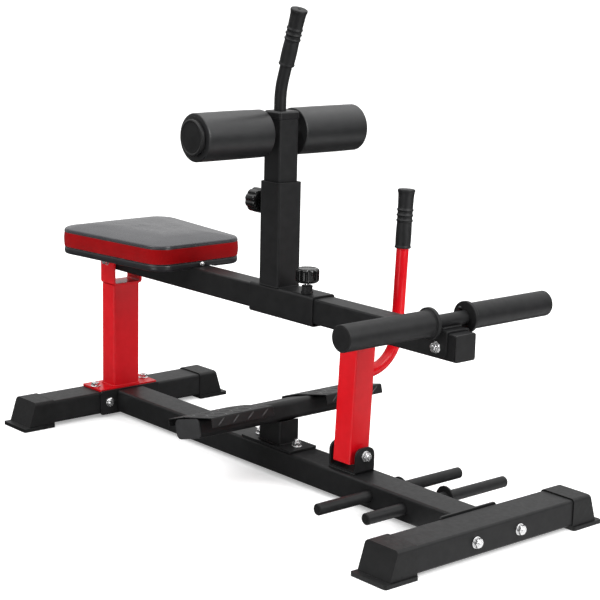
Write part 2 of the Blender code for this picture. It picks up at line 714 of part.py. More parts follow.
def make_saddle(pivot):
    """The bracket over the lever's end that carries the weight horns."""
    half = LEVER_HALF_Y + GAP + SADDLE_THICKNESS / 2
    top = LEVER_TOP + GAP + SADDLE_THICKNESS / 2
    path = [(-half, SADDLE_BOTTOM), (-half, top), (half, top), (half, SADDLE_BOTTOM)]
    saddle = channel("horn_saddle", "X", path, SADDLE_THICKNESS, 0.0030, SADDLE_X, BLACK_PAINT, pivot)
    rear, front = SADDLE_X
    corners = [(rear, SADDLE_BOTTOM), (front, SADDLE_BOTTOM), (front, 0.39), (rear, 0.39)]
    cheeks = rounded_outline([Vector(corner) for corner in corners], [0.014, 0.014, 0.001, 0.001], 5)
    cut(saddle, prism("saddle_cheeks", "Y", cheeks, (-0.05, 0.05), None, pivot), "INTERSECT")
    drill(saddle, "Y", SADDLE_BOLT, (-0.05, 0.05), BOLT_RADIUS + HOLE_PLAY, pivot)
    face = half + SADDLE_THICKNESS / 2 + GAP
    pivot_bolt("saddle_bolt", "Y", SADDLE_BOLT, face, -face, BOLT_RADIUS, pivot)
    reach = SLEEVE_Y[0] + 0.010
    bore = HORN_RADIUS - TUBE_WALL
    profile = [(HORN_RADIUS, -reach), (HORN_RADIUS, reach), (bore, reach), (bore, -reach)]
    turned("horn_tube", "Y", profile, (HORN_X, HORN_Z), BLACK_PAINT, pivot, ring=True)


def make_weight_sleeve(pivot, side, way):
    """A plate sleeve with its flange, closed at its outer end and open over the horn tube."""
    start, end = SLEEVE_Y
    bore = HORN_RADIUS + HOLE_PLAY
    profile = [
        (SLEEVE_RADIUS - 0.0012, end),
        (SLEEVE_RADIUS, end - 0.0012),
        (SLEEVE_RADIUS, start + SLEEVE_FLANGE),
        (SLEEVE_FLANGE_RADIUS, start + SLEEVE_FLANGE - 0.0006),
        (SLEEVE_FLANGE_RADIUS, start),
        (bore, start),
        (bore, start + SLEEVE_FLANGE),
        (SLEEVE_RADIUS - TUBE_WALL, start + SLEEVE_FLANGE + 0.001),
        (SLEEVE_RADIUS - TUBE_WALL, end - 0.003),
    ]
    profile = [(radius, way * along) for radius, along in profile]
    turned(f"weight_sleeve_{side}", "Y", profile, (HORN_X, HORN_Z), BLACK_PAINT, pivot)


# ---------------------------------------------------------------- thigh pad carriage
def make_carriage(slide):
    bottom, top = CARRIAGE_Z
    inner_bottom, inner_top = CARRIAGE_INNER_Z
    outer = rectangle(CARRIAGE_HALF_Y, (top - bottom) / 2, 0.006, (0, (top + bottom) / 2))
    inner_centre = (0, (inner_top + inner_bottom) / 2)
    inner = rectangle(CARRIAGE_INNER_HALF_Y, (inner_top - inner_bottom) / 2, 0.0035, inner_centre)
    carriage = tube("carriage", "X", outer, inner, CARRIAGE_X, BLACK_PAINT, slide)
    drill(carriage, "Z", TOP_PIN, (0.375, 0.39), PIN_HOLE_RADIUS, slide)
    half = (PAD_SLEEVE_HALF, PAD_SLEEVE_HALF - 0.001)
    centre = (PAD_SLEEVE_X, 0)
    sleeve = box_tube("pad_sleeve", "Z", half, PAD_SLEEVE_WALL, PAD_SLEEVE_Z, BLACK_PAINT, slide, centre)
    rear = PAD_SLEEVE_X - PAD_SLEEVE_HALF
    drill(sleeve, "X", (0, SIDE_PIN_Z), (rear - 0.01, rear + 0.01), PIN_HOLE_RADIUS, slide)
    top_barrel = [(0.0112, top + GAP), (0.0112, top + 0.0165), (0.0098, top + 0.0175)]
    top_bore = [(PIN_HOLE_RADIUS, top + 0.0175), (PIN_HOLE_RADIUS, top + GAP)]
    turned("carriage_pin_barrel", "Z", top_barrel + top_bore, TOP_PIN, BLACK_PAINT, slide, ring=True)
    side_barrel = [(0.0112, rear - GAP), (0.0112, rear - 0.0165), (0.0098, rear - 0.0175)]
    side_bore = [(PIN_HOLE_RADIUS, rear - 0.0175), (PIN_HOLE_RADIUS, rear - GAP)]
    turned("pad_pin_barrel", "X", side_barrel + side_bore, (0, SIDE_PIN_Z), BLACK_PAINT, slide, ring=True)


def pull_pin(name, axis, centre, tip, knob_start, knob_radius, knob_length, parent):
    """A spring-loaded locking pin and the fluted knob on its outer end."""
    way = 1 if knob_start > tip else -1
    inside = knob_start + way * 0.014
    stem = [
        (PIN_RADIUS - 0.001, tip),
        (PIN_RADIUS, tip + way * 0.001),
        (PIN_RADIUS, inside),
    ]
    turned(name, axis, stem, centre, ZINC, parent)
    end = knob_start + way * knob_length
    bore = PIN_RADIUS + HOLE_PLAY
    sections = [
        (lobed(knob_radius * 0.80, 0.001), end),
        (lobed(knob_radius * 0.95, 0.0020), end - way * 0.0020),
        (lobed(knob_radius, 0.0028), end - way * 0.0060),
        (lobed(knob_radius, 0.0028), knob_start + way * 0.0080),
        (lobed(knob_radius * 0.93, 0.0016), knob_start + way * 0.0035),
        (lobed(knob_radius * 0.45, 0), knob_start),
        (lobed(bore, 0), knob_start),
        (lobed(bore, 0), inside + way * 0.001),
    ]
    stacked(f"{name}_knob", axis, sections, centre, PLASTIC, parent)


def make_pad_post(height):
    half = (PAD_POST_HALF, PAD_POST_HALF)
    centre = (PAD_POST_X, 0)
    post = box_tube("pad_post", "Z", half, TUBE_WALL, PAD_POST_Z, BLACK_PAINT, height, centre, 0.004)
    drill(post, "Y", (AXLE_X, AXLE_Z), (-0.05, 0.05), AXLE_RADIUS + 2 * HOLE_PLAY, height)
    rear = PAD_POST_X - PAD_POST_HALF
    for i in range(-2, 4):
        centre = (0, SIDE_PIN_Z + i * PAD_HOLE_PITCH)
        drill(post, "X", centre, (rear - 0.01, rear + 0.005), PIN_HOLE_RADIUS, height)
    bottom = PAD_POST_Z[1]
    inner = PAD_POST_HALF - TUBE_WALL - GAP
    sections = [
        (rectangle(inner, inner, 0.002), bottom - 0.012),
        (rectangle(inner, inner, 0.002), bottom + GAP),
        (rectangle(0.0256, 0.0256, 0.005), bottom + GAP),
        (rectangle(0.0256, 0.0256, 0.005), POST_CAP_TOP - 0.003),
        (rectangle(0.0226, 0.0226, 0.004), POST_CAP_TOP),
    ]
    stacked("pad_post_cap", "Z", sections, (PAD_POST_X, 0), PLASTIC, height)
    right, left = AXLE_Y - AXLE_HALF_Y, AXLE_Y + AXLE_HALF_Y
    outer = [(AXLE_RADIUS, right), (AXLE_RADIUS, left)]
    bore = [(AXLE_RADIUS - 0.003, left), (AXLE_RADIUS - 0.003, right)]
    turned("roller_axle", "Y", outer + bore, (AXLE_X, AXLE_Z), ZINC, height, ring=True)


def grip_profile():
    """A rubber grip from its collar to its flared end, as (radius, along) pairs around a bore."""
    end = GRIP_LENGTH
    outer = [
        (0.0158, 0),
        (0.0158, 0.003),
        (GRIP_RADIUS - 0.0006, 0.006),
        (GRIP_RADIUS + 0.0002, end * 0.52),
        (GRIP_RADIUS + 0.0002, end * 0.86),
        (0.0170, end * 0.94),
        (0.0170, end - 0.003),
        (0.0145, end),
    ]
    bore = HANDLE_RADIUS + GAP
    inner = [(0.0028, end), (0.0028, end - 0.004), (bore, end - 0.004), (bore, 0)]
    return outer + inner


def make_pad_handle(height):
    """The bent handle above the thigh pads, with its grip."""
    base = Vector((PAD_HANDLE_X, 0, POST_CAP_TOP + GAP))
    bend = Vector((PAD_HANDLE_X, 0, PAD_HANDLE_BEND_Z))
    lean = Vector((math.sin(PAD_HANDLE_LEAN), 0, math.cos(PAD_HANDLE_LEAN)))
    end = bend + lean * (PAD_GRIP_START + GRIP_LENGTH - 0.006)
    path = rounded_path([base, bend, end], 0.060, 5)
    swept_tube("pad_handle", path, Vector((0, 1, 0)), BLACK_PAINT, height)
    grip = turned("pad_handle_grip", "Z", grip_profile(), (0, 0), RUBBER, None, ring=True)
    middle = bend + lean * (PAD_GRIP_START + GRIP_LENGTH / 2)
    grip.location = middle
    grip.rotation_euler.y = PAD_HANDLE_LEAN
    attach(grip, height)


def make_roller(spin, side, way):
    """A foam roller and the plastic plug in its outer end."""
    start, end = ROLLER_Y
    edge = 0.002
    profile = [
        (ROLLER_BORE, start),
        (ROLLER_RADIUS - edge, start),
        (ROLLER_RADIUS, start + edge),
        (ROLLER_RADIUS, end - edge),
        (ROLLER_RADIUS - edge, end),
        (ROLLER_BORE, end),
    ]
    profile = [(radius, AXLE_Y + way * along) for radius, along in profile]
    turned(f"roller_{side}", "Y", profile, (AXLE_X, AXLE_Z), FOAM, spin, ring=True)
    face = ROLLER_PLUG_Y
    plug = [
        (ROLLER_PLUG_RADIUS - 0.0025, face),
        (ROLLER_PLUG_RADIUS, face - 0.0025),
        (ROLLER_PLUG_RADIUS, end + GAP),
        (ROLLER_BORE - GAP, end + GAP),
        (ROLLER_BORE - GAP, AXLE_HALF_Y + 0.002),
    ]
    plug = [(radius, AXLE_Y + way * along) for radius, along in plug]
    turned(f"roller_plug_{side}", "Y", plug, (AXLE_X, AXLE_Z), PLASTIC, spin)


# ---------------------------------------------------------------- lever support
def make_support(swing):
    """The swinging post that holds the lever up, with its J-shaped handle."""
    half = (SUPPORT_HALF, SUPPORT_HALF)
    post = box_tube("support_post", "Z", half, TUBE_WALL, SUPPORT_Z, RED_PAINT, swing, (SUPPORT_X, 0), 0.004)
    drill(post, "X", (0, SUPPORT_PIVOT_Z), (0.16, 0.28), BOLT_RADIUS + HOLE_PLAY, swing)
    start = Vector((SUPPORT_X, SUPPORT_HALF + GAP, SUPPORT_HANDLE_Z))
    corner = Vector((SUPPORT_X, SUPPORT_HANDLE_Y, SUPPORT_HANDLE_Z))
    end = Vector((SUPPORT_X, SUPPORT_HANDLE_Y, SUPPORT_GRIP_Z + GRIP_LENGTH - 0.006))
    path = rounded_path([start, corner, end], SUPPORT_HANDLE_BEND, 7)
    swept_tube("support_handle", path, Vector((1, 0, 0)), RED_PAINT, swing)
    profile = [(radius, SUPPORT_GRIP_Z + along) for radius, along in grip_profile()]
    turned("support_grip", "Z", profile, (SUPPORT_X, SUPPORT_HANDLE_Y), RUBBER, swing, ring=True)


# ---------------------------------------------------------------- storage rods
def make_storage_rod(name, parent):
    """A hollow rod pushed through the main beam, with its welded collar and closed ends."""
    x, start, end, collar = RODS[name]
    profile = [
        (ROD_RADIUS - 0.0010, start),
        (ROD_RADIUS, start + 0.0010),
        (ROD_RADIUS, collar - ROD_COLLAR_HALF),
        (ROD_COLLAR_RADIUS, collar - ROD_COLLAR_HALF),
        (ROD_COLLAR_RADIUS, collar + ROD_COLLAR_HALF),
        (ROD_RADIUS, collar + ROD_COLLAR_HALF),
        (ROD_RADIUS, end - 0.0010),
        (ROD_RADIUS - 0.0010, end),
    ]
    bore = [(ROD_RADIUS - 0.0025, end), (ROD_RADIUS - 0.0025, start)]
    turned(name, "Y", profile + bore, (x, ROD_Z), BLACK_PAINT, parent, ring=True)


# ---------------------------------------------------------------- assembly
def make_base():
    make_main_beam()
    for end, sign in (("rear", -1), ("front", 1)):
        make_crossbar(end, sign)
        make_end_plate(end, sign)
        for side, way in (("left", 1), ("right", -1)):
            make_foot_cap(end, sign, side, way)
    make_rear_upright()
    make_pivot_bracket()
    make_support_clevis()
    make_foot_post()
    make_foot_tube()
    for side, way in (("left", 1), ("right", -1)):
        make_foot_plate(side, way)


def make_lever_group():
    pivot = joint_empty("lever_pivot", (PIVOT_X, 0, PIVOT_Z))
    make_lever(pivot)
    make_seat(pivot)
    make_saddle(pivot)
    for side, way in (("left", 1), ("right", -1)):
        make_weight_sleeve(pivot, side, way)
    return pivot


def make_carriage_group(pivot):
    slide = joint_empty("carriage_slide", (CARRIAGE_X[0], 0, LEVER_TOP), pivot)
    make_carriage(slide)
    top_joint = joint_empty("carriage_pin_pull", (*TOP_PIN, CARRIAGE_Z[1]), slide)
    pull_pin("carriage_pin", "Z", TOP_PIN, CARRIAGE_INNER_Z[1] + 0.0006, 0.4080, 0.0228, 0.0255, top_joint)
    rear = PAD_SLEEVE_X - PAD_SLEEVE_HALF
    side_joint = joint_empty("pad_pin_pull", (rear, 0, SIDE_PIN_Z), slide)
    pull_pin("pad_pin", "X", (0, SIDE_PIN_Z), rear + 0.0029, rear - 0.0240, 0.0250, 0.0310, side_joint)
    height = joint_empty("pad_height", (PAD_POST_X, 0, PAD_SLEEVE_Z[1]), slide)
    make_pad_post(height)
    make_pad_handle(height)
    for side, way in (("left", 1), ("right", -1)):
        spin = joint_empty(f"roller_{side}_spin", (AXLE_X, AXLE_Y + way * ROLLER_Y[0], AXLE_Z), height)
        make_roller(spin, side, way)


def make_support_group():
    swing = joint_empty("support_swing", (SUPPORT_X, 0, SUPPORT_PIVOT_Z))
    make_support(swing)
    swing.rotation_euler.x = -SUPPORT_LEAN


def make_rod_groups():
    for name, (x, *_) in RODS.items():
        make_storage_rod(name, joint_empty(f"{name}_slide", (x, 0, ROD_Z)))


remove_scene_objects()
make_base()
lever_pivot = make_lever_group()
make_carriage_group(lever_pivot)
make_support_group()
make_rod_groups()
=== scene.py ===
"""Looks for the seated calf machine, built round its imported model.

Metres, +Z up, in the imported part's own frame: X runs from the seat end to the weight end.
"""

import json
import math

import bmesh
import bpy
from mathutils import Matrix, Vector, noise


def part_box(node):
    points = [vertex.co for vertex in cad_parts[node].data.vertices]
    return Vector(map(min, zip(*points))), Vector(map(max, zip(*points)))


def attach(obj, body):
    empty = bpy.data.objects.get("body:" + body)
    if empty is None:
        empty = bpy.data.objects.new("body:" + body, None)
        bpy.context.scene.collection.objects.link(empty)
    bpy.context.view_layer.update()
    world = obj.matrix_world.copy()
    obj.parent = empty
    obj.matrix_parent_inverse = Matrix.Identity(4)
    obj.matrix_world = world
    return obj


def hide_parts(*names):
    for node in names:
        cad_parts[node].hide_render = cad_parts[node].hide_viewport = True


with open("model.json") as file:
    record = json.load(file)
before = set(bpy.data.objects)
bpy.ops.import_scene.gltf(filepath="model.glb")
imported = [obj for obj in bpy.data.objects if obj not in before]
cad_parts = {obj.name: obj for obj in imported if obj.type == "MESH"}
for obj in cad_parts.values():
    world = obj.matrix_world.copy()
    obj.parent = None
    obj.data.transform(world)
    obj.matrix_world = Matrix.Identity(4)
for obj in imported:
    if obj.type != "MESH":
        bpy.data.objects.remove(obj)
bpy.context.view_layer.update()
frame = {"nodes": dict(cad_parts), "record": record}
NODES = frame["nodes"]

ROUND_STEPS = 72
SHARP_ANGLE = math.radians(34)

CAMERA_PLACE = (2.46224, -2.06833, 1.02810)
CAMERA_AZIMUTH = math.radians(49.343)
CAMERA_ELEVATION = math.radians(11.83)
CAMERA_ROLL = math.radians(1.2458)
CAMERA_LENS = 99.135
CAMERA_SHIFT = (0.0017, -0.0016)
STRIP_AZIMUTHS = (math.radians(-80), math.radians(5))

SEAT_FRONT_HALF_Y = 0.112
SEAT_REAR_RADIUS = 0.047
SEAT_FRONT_RADIUS = 0.042
SEAT_SEAM_Z = 0.4240
SEAT_SKIRT_Z = 0.3752
SEAT_NOTCH_HALF_Y = 0.029
SEAT_CORNER_STEPS = 10
SEAT_SIDE_PARTS = 24
SEAT_CORE_INSET = 0.060
SEAT_MIDDLE_INSET = 0.105
CLOTH_FRAMES = 20

PAD_HANDLE_X = -0.0148
PAD_HANDLE_BEND_Z = 0.7665
PAD_HANDLE_LEAN = math.radians(18.2)
PAD_GRIP_START = 0.052
GRIP_LENGTH = 0.1137
HANDLE_RADIUS = 0.012

SUPPORT_PIVOT = (0.2174, 0.0, 0.0925)
SUPPORT_LEAN = math.radians(2.7)
SUPPORT_HALF = 0.0248
SUPPORT_HANDLE_Z = 0.2465
SUPPORT_HANDLE_BEND = 0.075
SUPPORT_HANDLE_Y = 0.101
SUPPORT_GRIP_Z = 0.483

FOOT_TUBE_CENTRE = (-0.012, 0.1204)
FOOT_TILT = math.radians(14.9)
FOOT_PLATE_BEND = (-0.0053, 0.0243)
FOOT_PLATE_FRONT = (0.0825, 0.0190)
FOOT_PLATE_Y = (0.0692, 0.2212)

HORN = (0.4605, 0.3955)
AXLE = (-0.0210, 0.684)
AXLE_Y = -0.003
PLUG_BORE = 0.0109
FOAM_BORE = 0.0113

KNOB_RADIUS = {"Z": 0.0232, "X": 0.0250}
KNOB_SKIRT = {"Z": 0.004, "X": 0.002}
KNOB_STEPS = 120
KNOB_LOBES = 10

PLATE_SLEEVE_RADIUS = 0.024
ROD_RADIUS = 0.0112
ROD_COLLAR_RADIUS = 0.0225
ROD_COLLAR_Y = {"storage_rod_rear": 0.0462, "storage_rod_front": 0.076}

NUT_ACROSS = 0.0160
NUT_REACH = {"crossbar": 0.0125, "upright": 0.0118, "foot": 0.0150}
WASHER_RADIUS = 0.0108
THREAD_RADIUS = 0.0048
THREAD_PITCH = 0.0009
DOME_RADIUS = 0.0104
DOME_HEIGHT = 0.0052

UPRIGHT_WELD = (-0.5627, 0.0253, 0.0353)
FOOT_POST_WELD = (0.0005, 0.0353, 0.0256)
PAD_SLEEVE_WELD = (-0.0078, 0.0302, 0.0288)
WELD_CORNER = 0.006


# ---- materials
def node(tree, kind, **values):
    """A shader node with its settings and inputs given by name; an input may be linked to a socket."""
    made = tree.nodes.new(kind)
    for name, value in values.items():
        label = name.replace("_", " ").title()
        if label not in made.inputs:
            setattr(made, name, value)
        elif isinstance(value, bpy.types.NodeSocket):
            tree.links.new(value, made.inputs[label])
        else:
            made.inputs[label].default_value = value
    return made


def noise_value(tree, place, scale, detail):
    return node(tree, "ShaderNodeTexNoise", vector=place, scale=scale, detail=detail).outputs[0]


def remapped(tree, value, start, end, low, high, kind="LINEAR"):
    """A value mapped from the range start to end onto low to high."""
    spread = node(tree, "ShaderNodeMapRange", value=value, interpolation_type=kind)
    for label, limit in (("From Min", start), ("From Max", end), ("To Min", low), ("To Max", high)):
        spread.inputs[label].default_value = limit
    return spread.outputs[0]


def between(tree, value, low, high):
    """A noise value's middle range, spread from low to high."""
    return remapped(tree, value, 0.3, 0.7, low, high)


def bump(tree, height, distance, strength, under=None):
    """A bumped normal, laid over the one under it."""
    made = node(tree, "ShaderNodeBump", distance=distance, strength=strength, height=height)
    if under is not None:
        tree.links.new(under, made.inputs["Normal"])
    return made.outputs[0]


def new_material(name, **constants):
    """A material whose shader has constants set, with its tree and object coordinates."""
    made = bpy.data.materials.new(name)
    made.use_nodes = True
    tree = made.node_tree
    shader = tree.nodes["Principled BSDF"]
    for label, value in constants.items():
        shader.inputs[label.replace("_", " ")].default_value = value
    place = node(tree, "ShaderNodeTexCoord").outputs["Object"]
    return made, tree, shader, place


def paint_colour(tree, shader, place, dark, light, scale):
    """Mottles a surface between two close colours."""
    share = between(tree, noise_value(tree, place, scale, 4.0), 0.0, 1.0)
    mix = node(tree, "ShaderNodeMix", data_type="RGBA")
    mix.inputs[6].default_value = (*dark, 1.0)
    mix.inputs[7].default_value = (*light, 1.0)
    tree.links.new(share, mix.inputs[0])
    tree.links.new(mix.outputs[2], shader.inputs["Base Color"])


def coated(name, dark, light, roughness, grain, depth, strength, **constants):
    """Paint, rubber, plastic or plating: mottled colour, uneven roughness and a fine raised grain."""
    made, tree, shader, place = new_material(name, **constants)
    paint_colour(tree, shader, place, dark, light, 55.0)
    rough = between(tree, noise_value(tree, place, 130.0, 3.0), *roughness)
    tree.links.new(rough, shader.inputs["Roughness"])
    fine = bump(tree, noise_value(tree, place, grain, 2.0), depth, strength)
    waves = bump(tree, noise_value(tree, place, 40.0, 2.0), depth * 2.5, strength * 0.5, fine)
    tree.links.new(waves, shader.inputs["Normal"])
    return made


def leather(name, dark, light, roughness, **constants):
    """Upholstery vinyl with a pebbled grain and soft creases."""
    made, tree, shader, place = new_material(name, **constants)
    paint_colour(tree, shader, place, dark, light, 30.0)
    rough = between(tree, noise_value(tree, place, 90.0, 3.0), *roughness)
    tree.links.new(rough, shader.inputs["Roughness"])
    pebbles = node(tree, "ShaderNodeTexVoronoi", vector=place, scale=620.0, feature="F1")
    grain = bump(tree, pebbles.outputs["Distance"], 0.00010, 0.06)
    creases = bump(tree, noise_value(tree, place, 26.0, 3.0), 0.0005, 0.10, grain)
    tree.links.new(creases, shader.inputs["Normal"])
    return made


def foam_skin(name):
    """Closed-cell foam: open pores over a soft uneven skin."""
    made, tree, shader, place = new_material(name, Specular_IOR_Level=0.55)
    paint_colour(tree, shader, place, (0.0090, 0.0092, 0.0098), (0.0118, 0.0121, 0.0128), 45.0)
    rough = between(tree, noise_value(tree, place, 60.0, 3.0), 0.35, 0.41)
    tree.links.new(rough, shader.inputs["Roughness"])
    pores = node(tree, "ShaderNodeTexVoronoi", vector=place, scale=950.0, feature="F1")
    skin = bump(tree, pores.outputs["Distance"], 0.0002, 0.25)
    dents = bump(tree, noise_value(tree, place, 28.0, 4.0), 0.0008, 0.15, skin)
    tree.links.new(dents, shader.inputs["Normal"])
    return made


def woven(name, dark, light):
    """The plain cloth stapled under a seat board."""
    made, tree, shader, place = new_material(name, Roughness=0.9)
    paint_colour(tree, shader, place, dark, light, 70.0)
    normal = None
    for direction in ("X", "Y"):
        settings = {"scale": 260.0, "distortion": 0.4, "bands_direction": direction}
        thread = node(tree, "ShaderNodeTexWave", vector=place, **settings)
        normal = bump(tree, thread.outputs[1], 0.0004, 0.5, normal)
    tree.links.new(normal, shader.inputs["Normal"])
    return made


BLACK_COAT = coated(
    "black_coat", (0.0095, 0.0096, 0.0100), (0.0130, 0.0131, 0.0136), (0.40, 0.47),
    1500.0, 0.00008, 0.25, Specular_IOR_Level=0.20,
)
RED_COAT = coated(
    "red_coat", (0.52, 0.0022, 0.0065), (0.57, 0.0030, 0.0085), (0.22, 0.27),
    60.0, 0.00006, 0.06, Specular_IOR_Level=0.26,
)
RUBBER = coated(
    "moulded_rubber", (0.0040, 0.0041, 0.0043), (0.0065, 0.0067, 0.0070), (0.46, 0.56),
    900.0, 0.00020, 0.40, Specular_IOR_Level=0.30,
)
GRIP_RUBBER = coated(
    "grip_rubber", (0.0060, 0.0062, 0.0066), (0.0100, 0.0102, 0.0108), (0.46, 0.56),
    1100.0, 0.00022, 0.40, Specular_IOR_Level=0.32,
)
PLASTIC = coated(
    "moulded_plastic", (0.0065, 0.0065, 0.0068), (0.0095, 0.0095, 0.0098), (0.34, 0.44),
    800.0, 0.00008, 0.25, Specular_IOR_Level=0.32,
)
PALE_PLASTIC = coated(
    "end_plug_plastic", (0.0240, 0.0240, 0.0250), (0.0310, 0.0310, 0.0322), (0.42, 0.52),
    700.0, 0.00015, 0.35, Specular_IOR_Level=0.30,
)
GLOSS_PLASTIC = coated(
    "knob_plastic", (0.0030, 0.0030, 0.0032), (0.0050, 0.0050, 0.0052), (0.12, 0.18),
    120.0, 0.00004, 0.15, Specular_IOR_Level=0.50,
)
ZINC = coated(
    "zinc_plate", (0.80, 0.80, 0.81), (0.92, 0.92, 0.92), (0.18, 0.28),
    900.0, 0.00004, 0.20, Metallic=0.90,
)
# Painted light: the seat top is the same black vinyl as the welt and the board's edge, in a copy
# painted about three times lighter for the light on the top.
LIT_TOP_VINYL = leather("vinyl_top_painted_light", (0.0325, 0.0325, 0.0372), (0.0400, 0.0400, 0.0452), (0.26, 0.31))
EDGE_VINYL = leather("vinyl_edge", (0.0120, 0.0120, 0.0134), (0.0160, 0.0160, 0.0178), (0.30, 0.36))
SIDE_VINYL = leather(
    "vinyl_side", (0.190, 0.0005, 0.0014), (0.235, 0.0009, 0.0021), (0.50, 0.60),
    Specular_IOR_Level=0.06,
)
# Painted highlight: the tread bars are the black paint in a lighter, glossier copy, standing in for
# the highlights on them.
TREAD_HIGHLIGHT_COAT = coated(
    "tread_painted_highlight", (0.0200, 0.0202, 0.0208), (0.0280, 0.0283, 0.0292), (0.28, 0.36),
    1500.0, 0.00006, 0.20, Specular_IOR_Level=0.45,
)
FOAM = foam_skin("foam_skin")
UNDER_CLOTH = woven("under_cloth", (0.010, 0.010, 0.011), (0.018, 0.018, 0.019))

BLACK = ("black_powder_coat", BLACK_COAT)
RED = ("red_powder_coat", RED_COAT)
GRIP = ("rubber_black", GRIP_RUBBER)


# ---- outlines
def fillet(before, corner, after, radius, steps, share=0.48):
    """Points of the arc that rounds a corner, kept to a share of the lines that it joins."""
    to_before = before - corner
    to_after = after - corner
    half_angle = to_before.angle(to_after) / 2
    if half_angle > math.pi / 2 - 0.02:
        return [corner]
    room = min(to_before.length, to_after.length) * share
    reach = min(radius / math.tan(half_angle), room)
    radius = reach * math.tan(half_angle)
    middle = (to_before.normalized() + to_after.normalized()).normalized()
    centre = corner + middle * radius / math.sin(half_angle)
    start = (corner + to_before.normalized() * reach - centre).normalized()
    end = (corner + to_after.normalized() * reach - centre).normalized()
    return [centre + start.slerp(end, i / steps).normalized() * radius for i in range(steps + 1)]


def softened(points, radius, steps=4, share=0.48):
    """An open line with its inner corners rounded."""
    points = [Vector(point) for point in points]
    line = [points[0]]
    for before, corner, after in zip(points, points[1:], points[2:]):
        line += fillet(before, corner, after, radius, steps, share)
    return line + [points[-1]]


def rounded_outline(corners, radii, steps):
    """A closed outline with each corner rounded by its own radius."""
    points = []
    for i, radius in enumerate(radii):
        points += fillet(corners[i - 1], corners[i], corners[(i + 1) % len(corners)], radius, steps)
    return points


def circle(radius, steps=ROUND_STEPS):
    turns = [2 * math.pi * i / steps for i in range(steps)]
    return [Vector((radius * math.cos(turn), radius * math.sin(turn))) for turn in turns]


def hexagon(across_flats, most):
    """A hexagon with its corners cut back to the radius most."""
    points = []
    for i in range(ROUND_STEPS):
        turn = 2 * math.pi * i / ROUND_STEPS
        off_flat = turn % (math.pi / 3) - math.pi / 6
        radius = min(across_flats / 2 / math.cos(off_flat), most)
        points.append(Vector((radius * math.cos(turn), radius * math.sin(turn))))
    return points


def fluted(radius, depth):
    """A knob's outline: broad lobes between narrow finger flutes."""
    points = []
    for i in range(KNOB_STEPS):
        turn = 2 * math.pi * i / KNOB_STEPS
        dip = (0.5 + 0.5 * math.cos(KNOB_LOBES * turn)) ** 3
        reach = radius - depth * dip
        points.append(Vector((reach * math.cos(turn), reach * math.sin(turn))))
    return points


# ---- meshes
def new_object(name, data):
    obj = bpy.data.objects.new(name, data)
    bpy.context.scene.collection.objects.link(obj)
    return obj


def spot(axis, u, v, along):
    """The point at (u, v) across an axis and along it."""
    return Vector({"X": (along, u, v), "Y": (u, along, v), "Z": (u, v, along)}[axis])


def mesh_object(name, shells):
    """One object from shells, each a list of loops of points with its closing: caps, ring or open."""
    data = bmesh.new()
    for loops, closing in shells:
        rows = [[data.verts.new(point) for point in loop] for loop in loops]
        pairs = list(zip(rows, rows[1:]))
        if closing == "ring":
            pairs.append((rows[-1], rows[0]))
        if closing == "caps":
            data.faces.new(rows[0])
            data.faces.new(rows[-1])
        for one, two in pairs:
            for i in range(len(one)):
                data.faces.new((one[i - 1], one[i], two[i], two[i - 1]))
    bmesh.ops.recalc_face_normals(data, faces=data.faces)
    mesh = bpy.data.meshes.new(name)
    data.to_mesh(mesh)
    data.free()
    mesh.shade_smooth()
    mesh.set_sharp_from_angle(angle=SHARP_ANGLE)
    return new_object(name, mesh)


def turned_shell(axis, profile, centre, closing="caps"):
    """The loops of a solid of revolution from (radius, along) pairs."""
    loops = []
    for radius, along in profile:
        ring = circle(max(radius, 0.00002))
        loops.append([spot(axis, p.x + centre[0], p.y + centre[1], along) for p in ring])
    return loops, closing


def stacked_shell(axis, sections, centre):
    """The loops of a solid through (outline, along) pairs."""
    loops = []
    for outline, along in sections:
        loops.append([spot(axis, p.x + centre[0], p.y + centre[1], along) for p in outline])
    return loops, "caps"


def frames_along(path):
    """A point, a side and an up direction at each point of a path, with no twist between them."""
    found = []
    side = None
    for i, point in enumerate(path):
        before = (point - path[i - 1]).normalized() if i else (path[1] - point).normalized()
        after = (path[i + 1] - point).normalized() if i + 1 < len(path) else before
        along = (before + after).normalized()
        if side is None:
            side = along.orthogonal().normalized()
        side = (side - along * side.dot(along)).normalized()
        found.append((point, side, along.cross(side)))
    return found


def swept_shell(path, radii, steps=40):
    """The loops of a round bar along a path, with a radius for each point."""
    loops = []
    for (point, side, up), radius in zip(frames_along(path), radii):
        loops.append([point + side * across.x + up * across.y for across in circle(radius, steps)])
    return loops, "caps"


def finish_piece(obj, body, slot, material, *nodes):
    """Gives a piece its material and its body, and hides the CAD nodes that it stands for; its slot is
    not used.
    """
    if material is not None:
        obj.data.materials.append(material)
    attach(obj, body)
    if nodes:
        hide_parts(*nodes)
    return obj


def turned_piece(name, axis, profile, centre, body, slot, material, *nodes, soft=0.0006):
    """A finished solid of revolution whose profile's inner corners are softened."""
    shell = turned_shell(axis, softened(profile, soft), centre)
    return finish_piece(mesh_object(name, [shell]), body, slot, material, *nodes)


# ---- CAD nodes that stay
def smooth_node(name, material, width=0.0010):
    """Keeps a CAD node, with welded faces, softened edges and a better material."""
    obj = NODES[name]
    mesh = obj.data
    for attribute in ("custom_normal", "sharp_edge", "sharp_face"):
        if attribute in mesh.attributes:
            mesh.attributes.remove(mesh.attributes[attribute])
    mesh.shade_smooth()
    weld = obj.modifiers.new("weld", "WELD")
    weld.merge_threshold = 0.00001
    flatten = obj.modifiers.new("flatten", "DECIMATE")
    flatten.decimate_type = "DISSOLVE"
    flatten.angle_limit = math.radians(1.0)
    edges = obj.modifiers.new("edges", "BEVEL")
    edges.width = width
    edges.segments = 3
    edges.limit_method = "ANGLE"
    edges.angle_limit = math.radians(40)
    edges.use_clamp_overlap = True
    obj.modifiers.new("normals", "WEIGHTED_NORMAL")
    for material_slot in obj.material_slots:
        material_slot.material = material


def obj_slot(name):
    rows = frame["record"]["subparts"]
    return next(row["material_slot"] for row in rows if row["node"] == name)


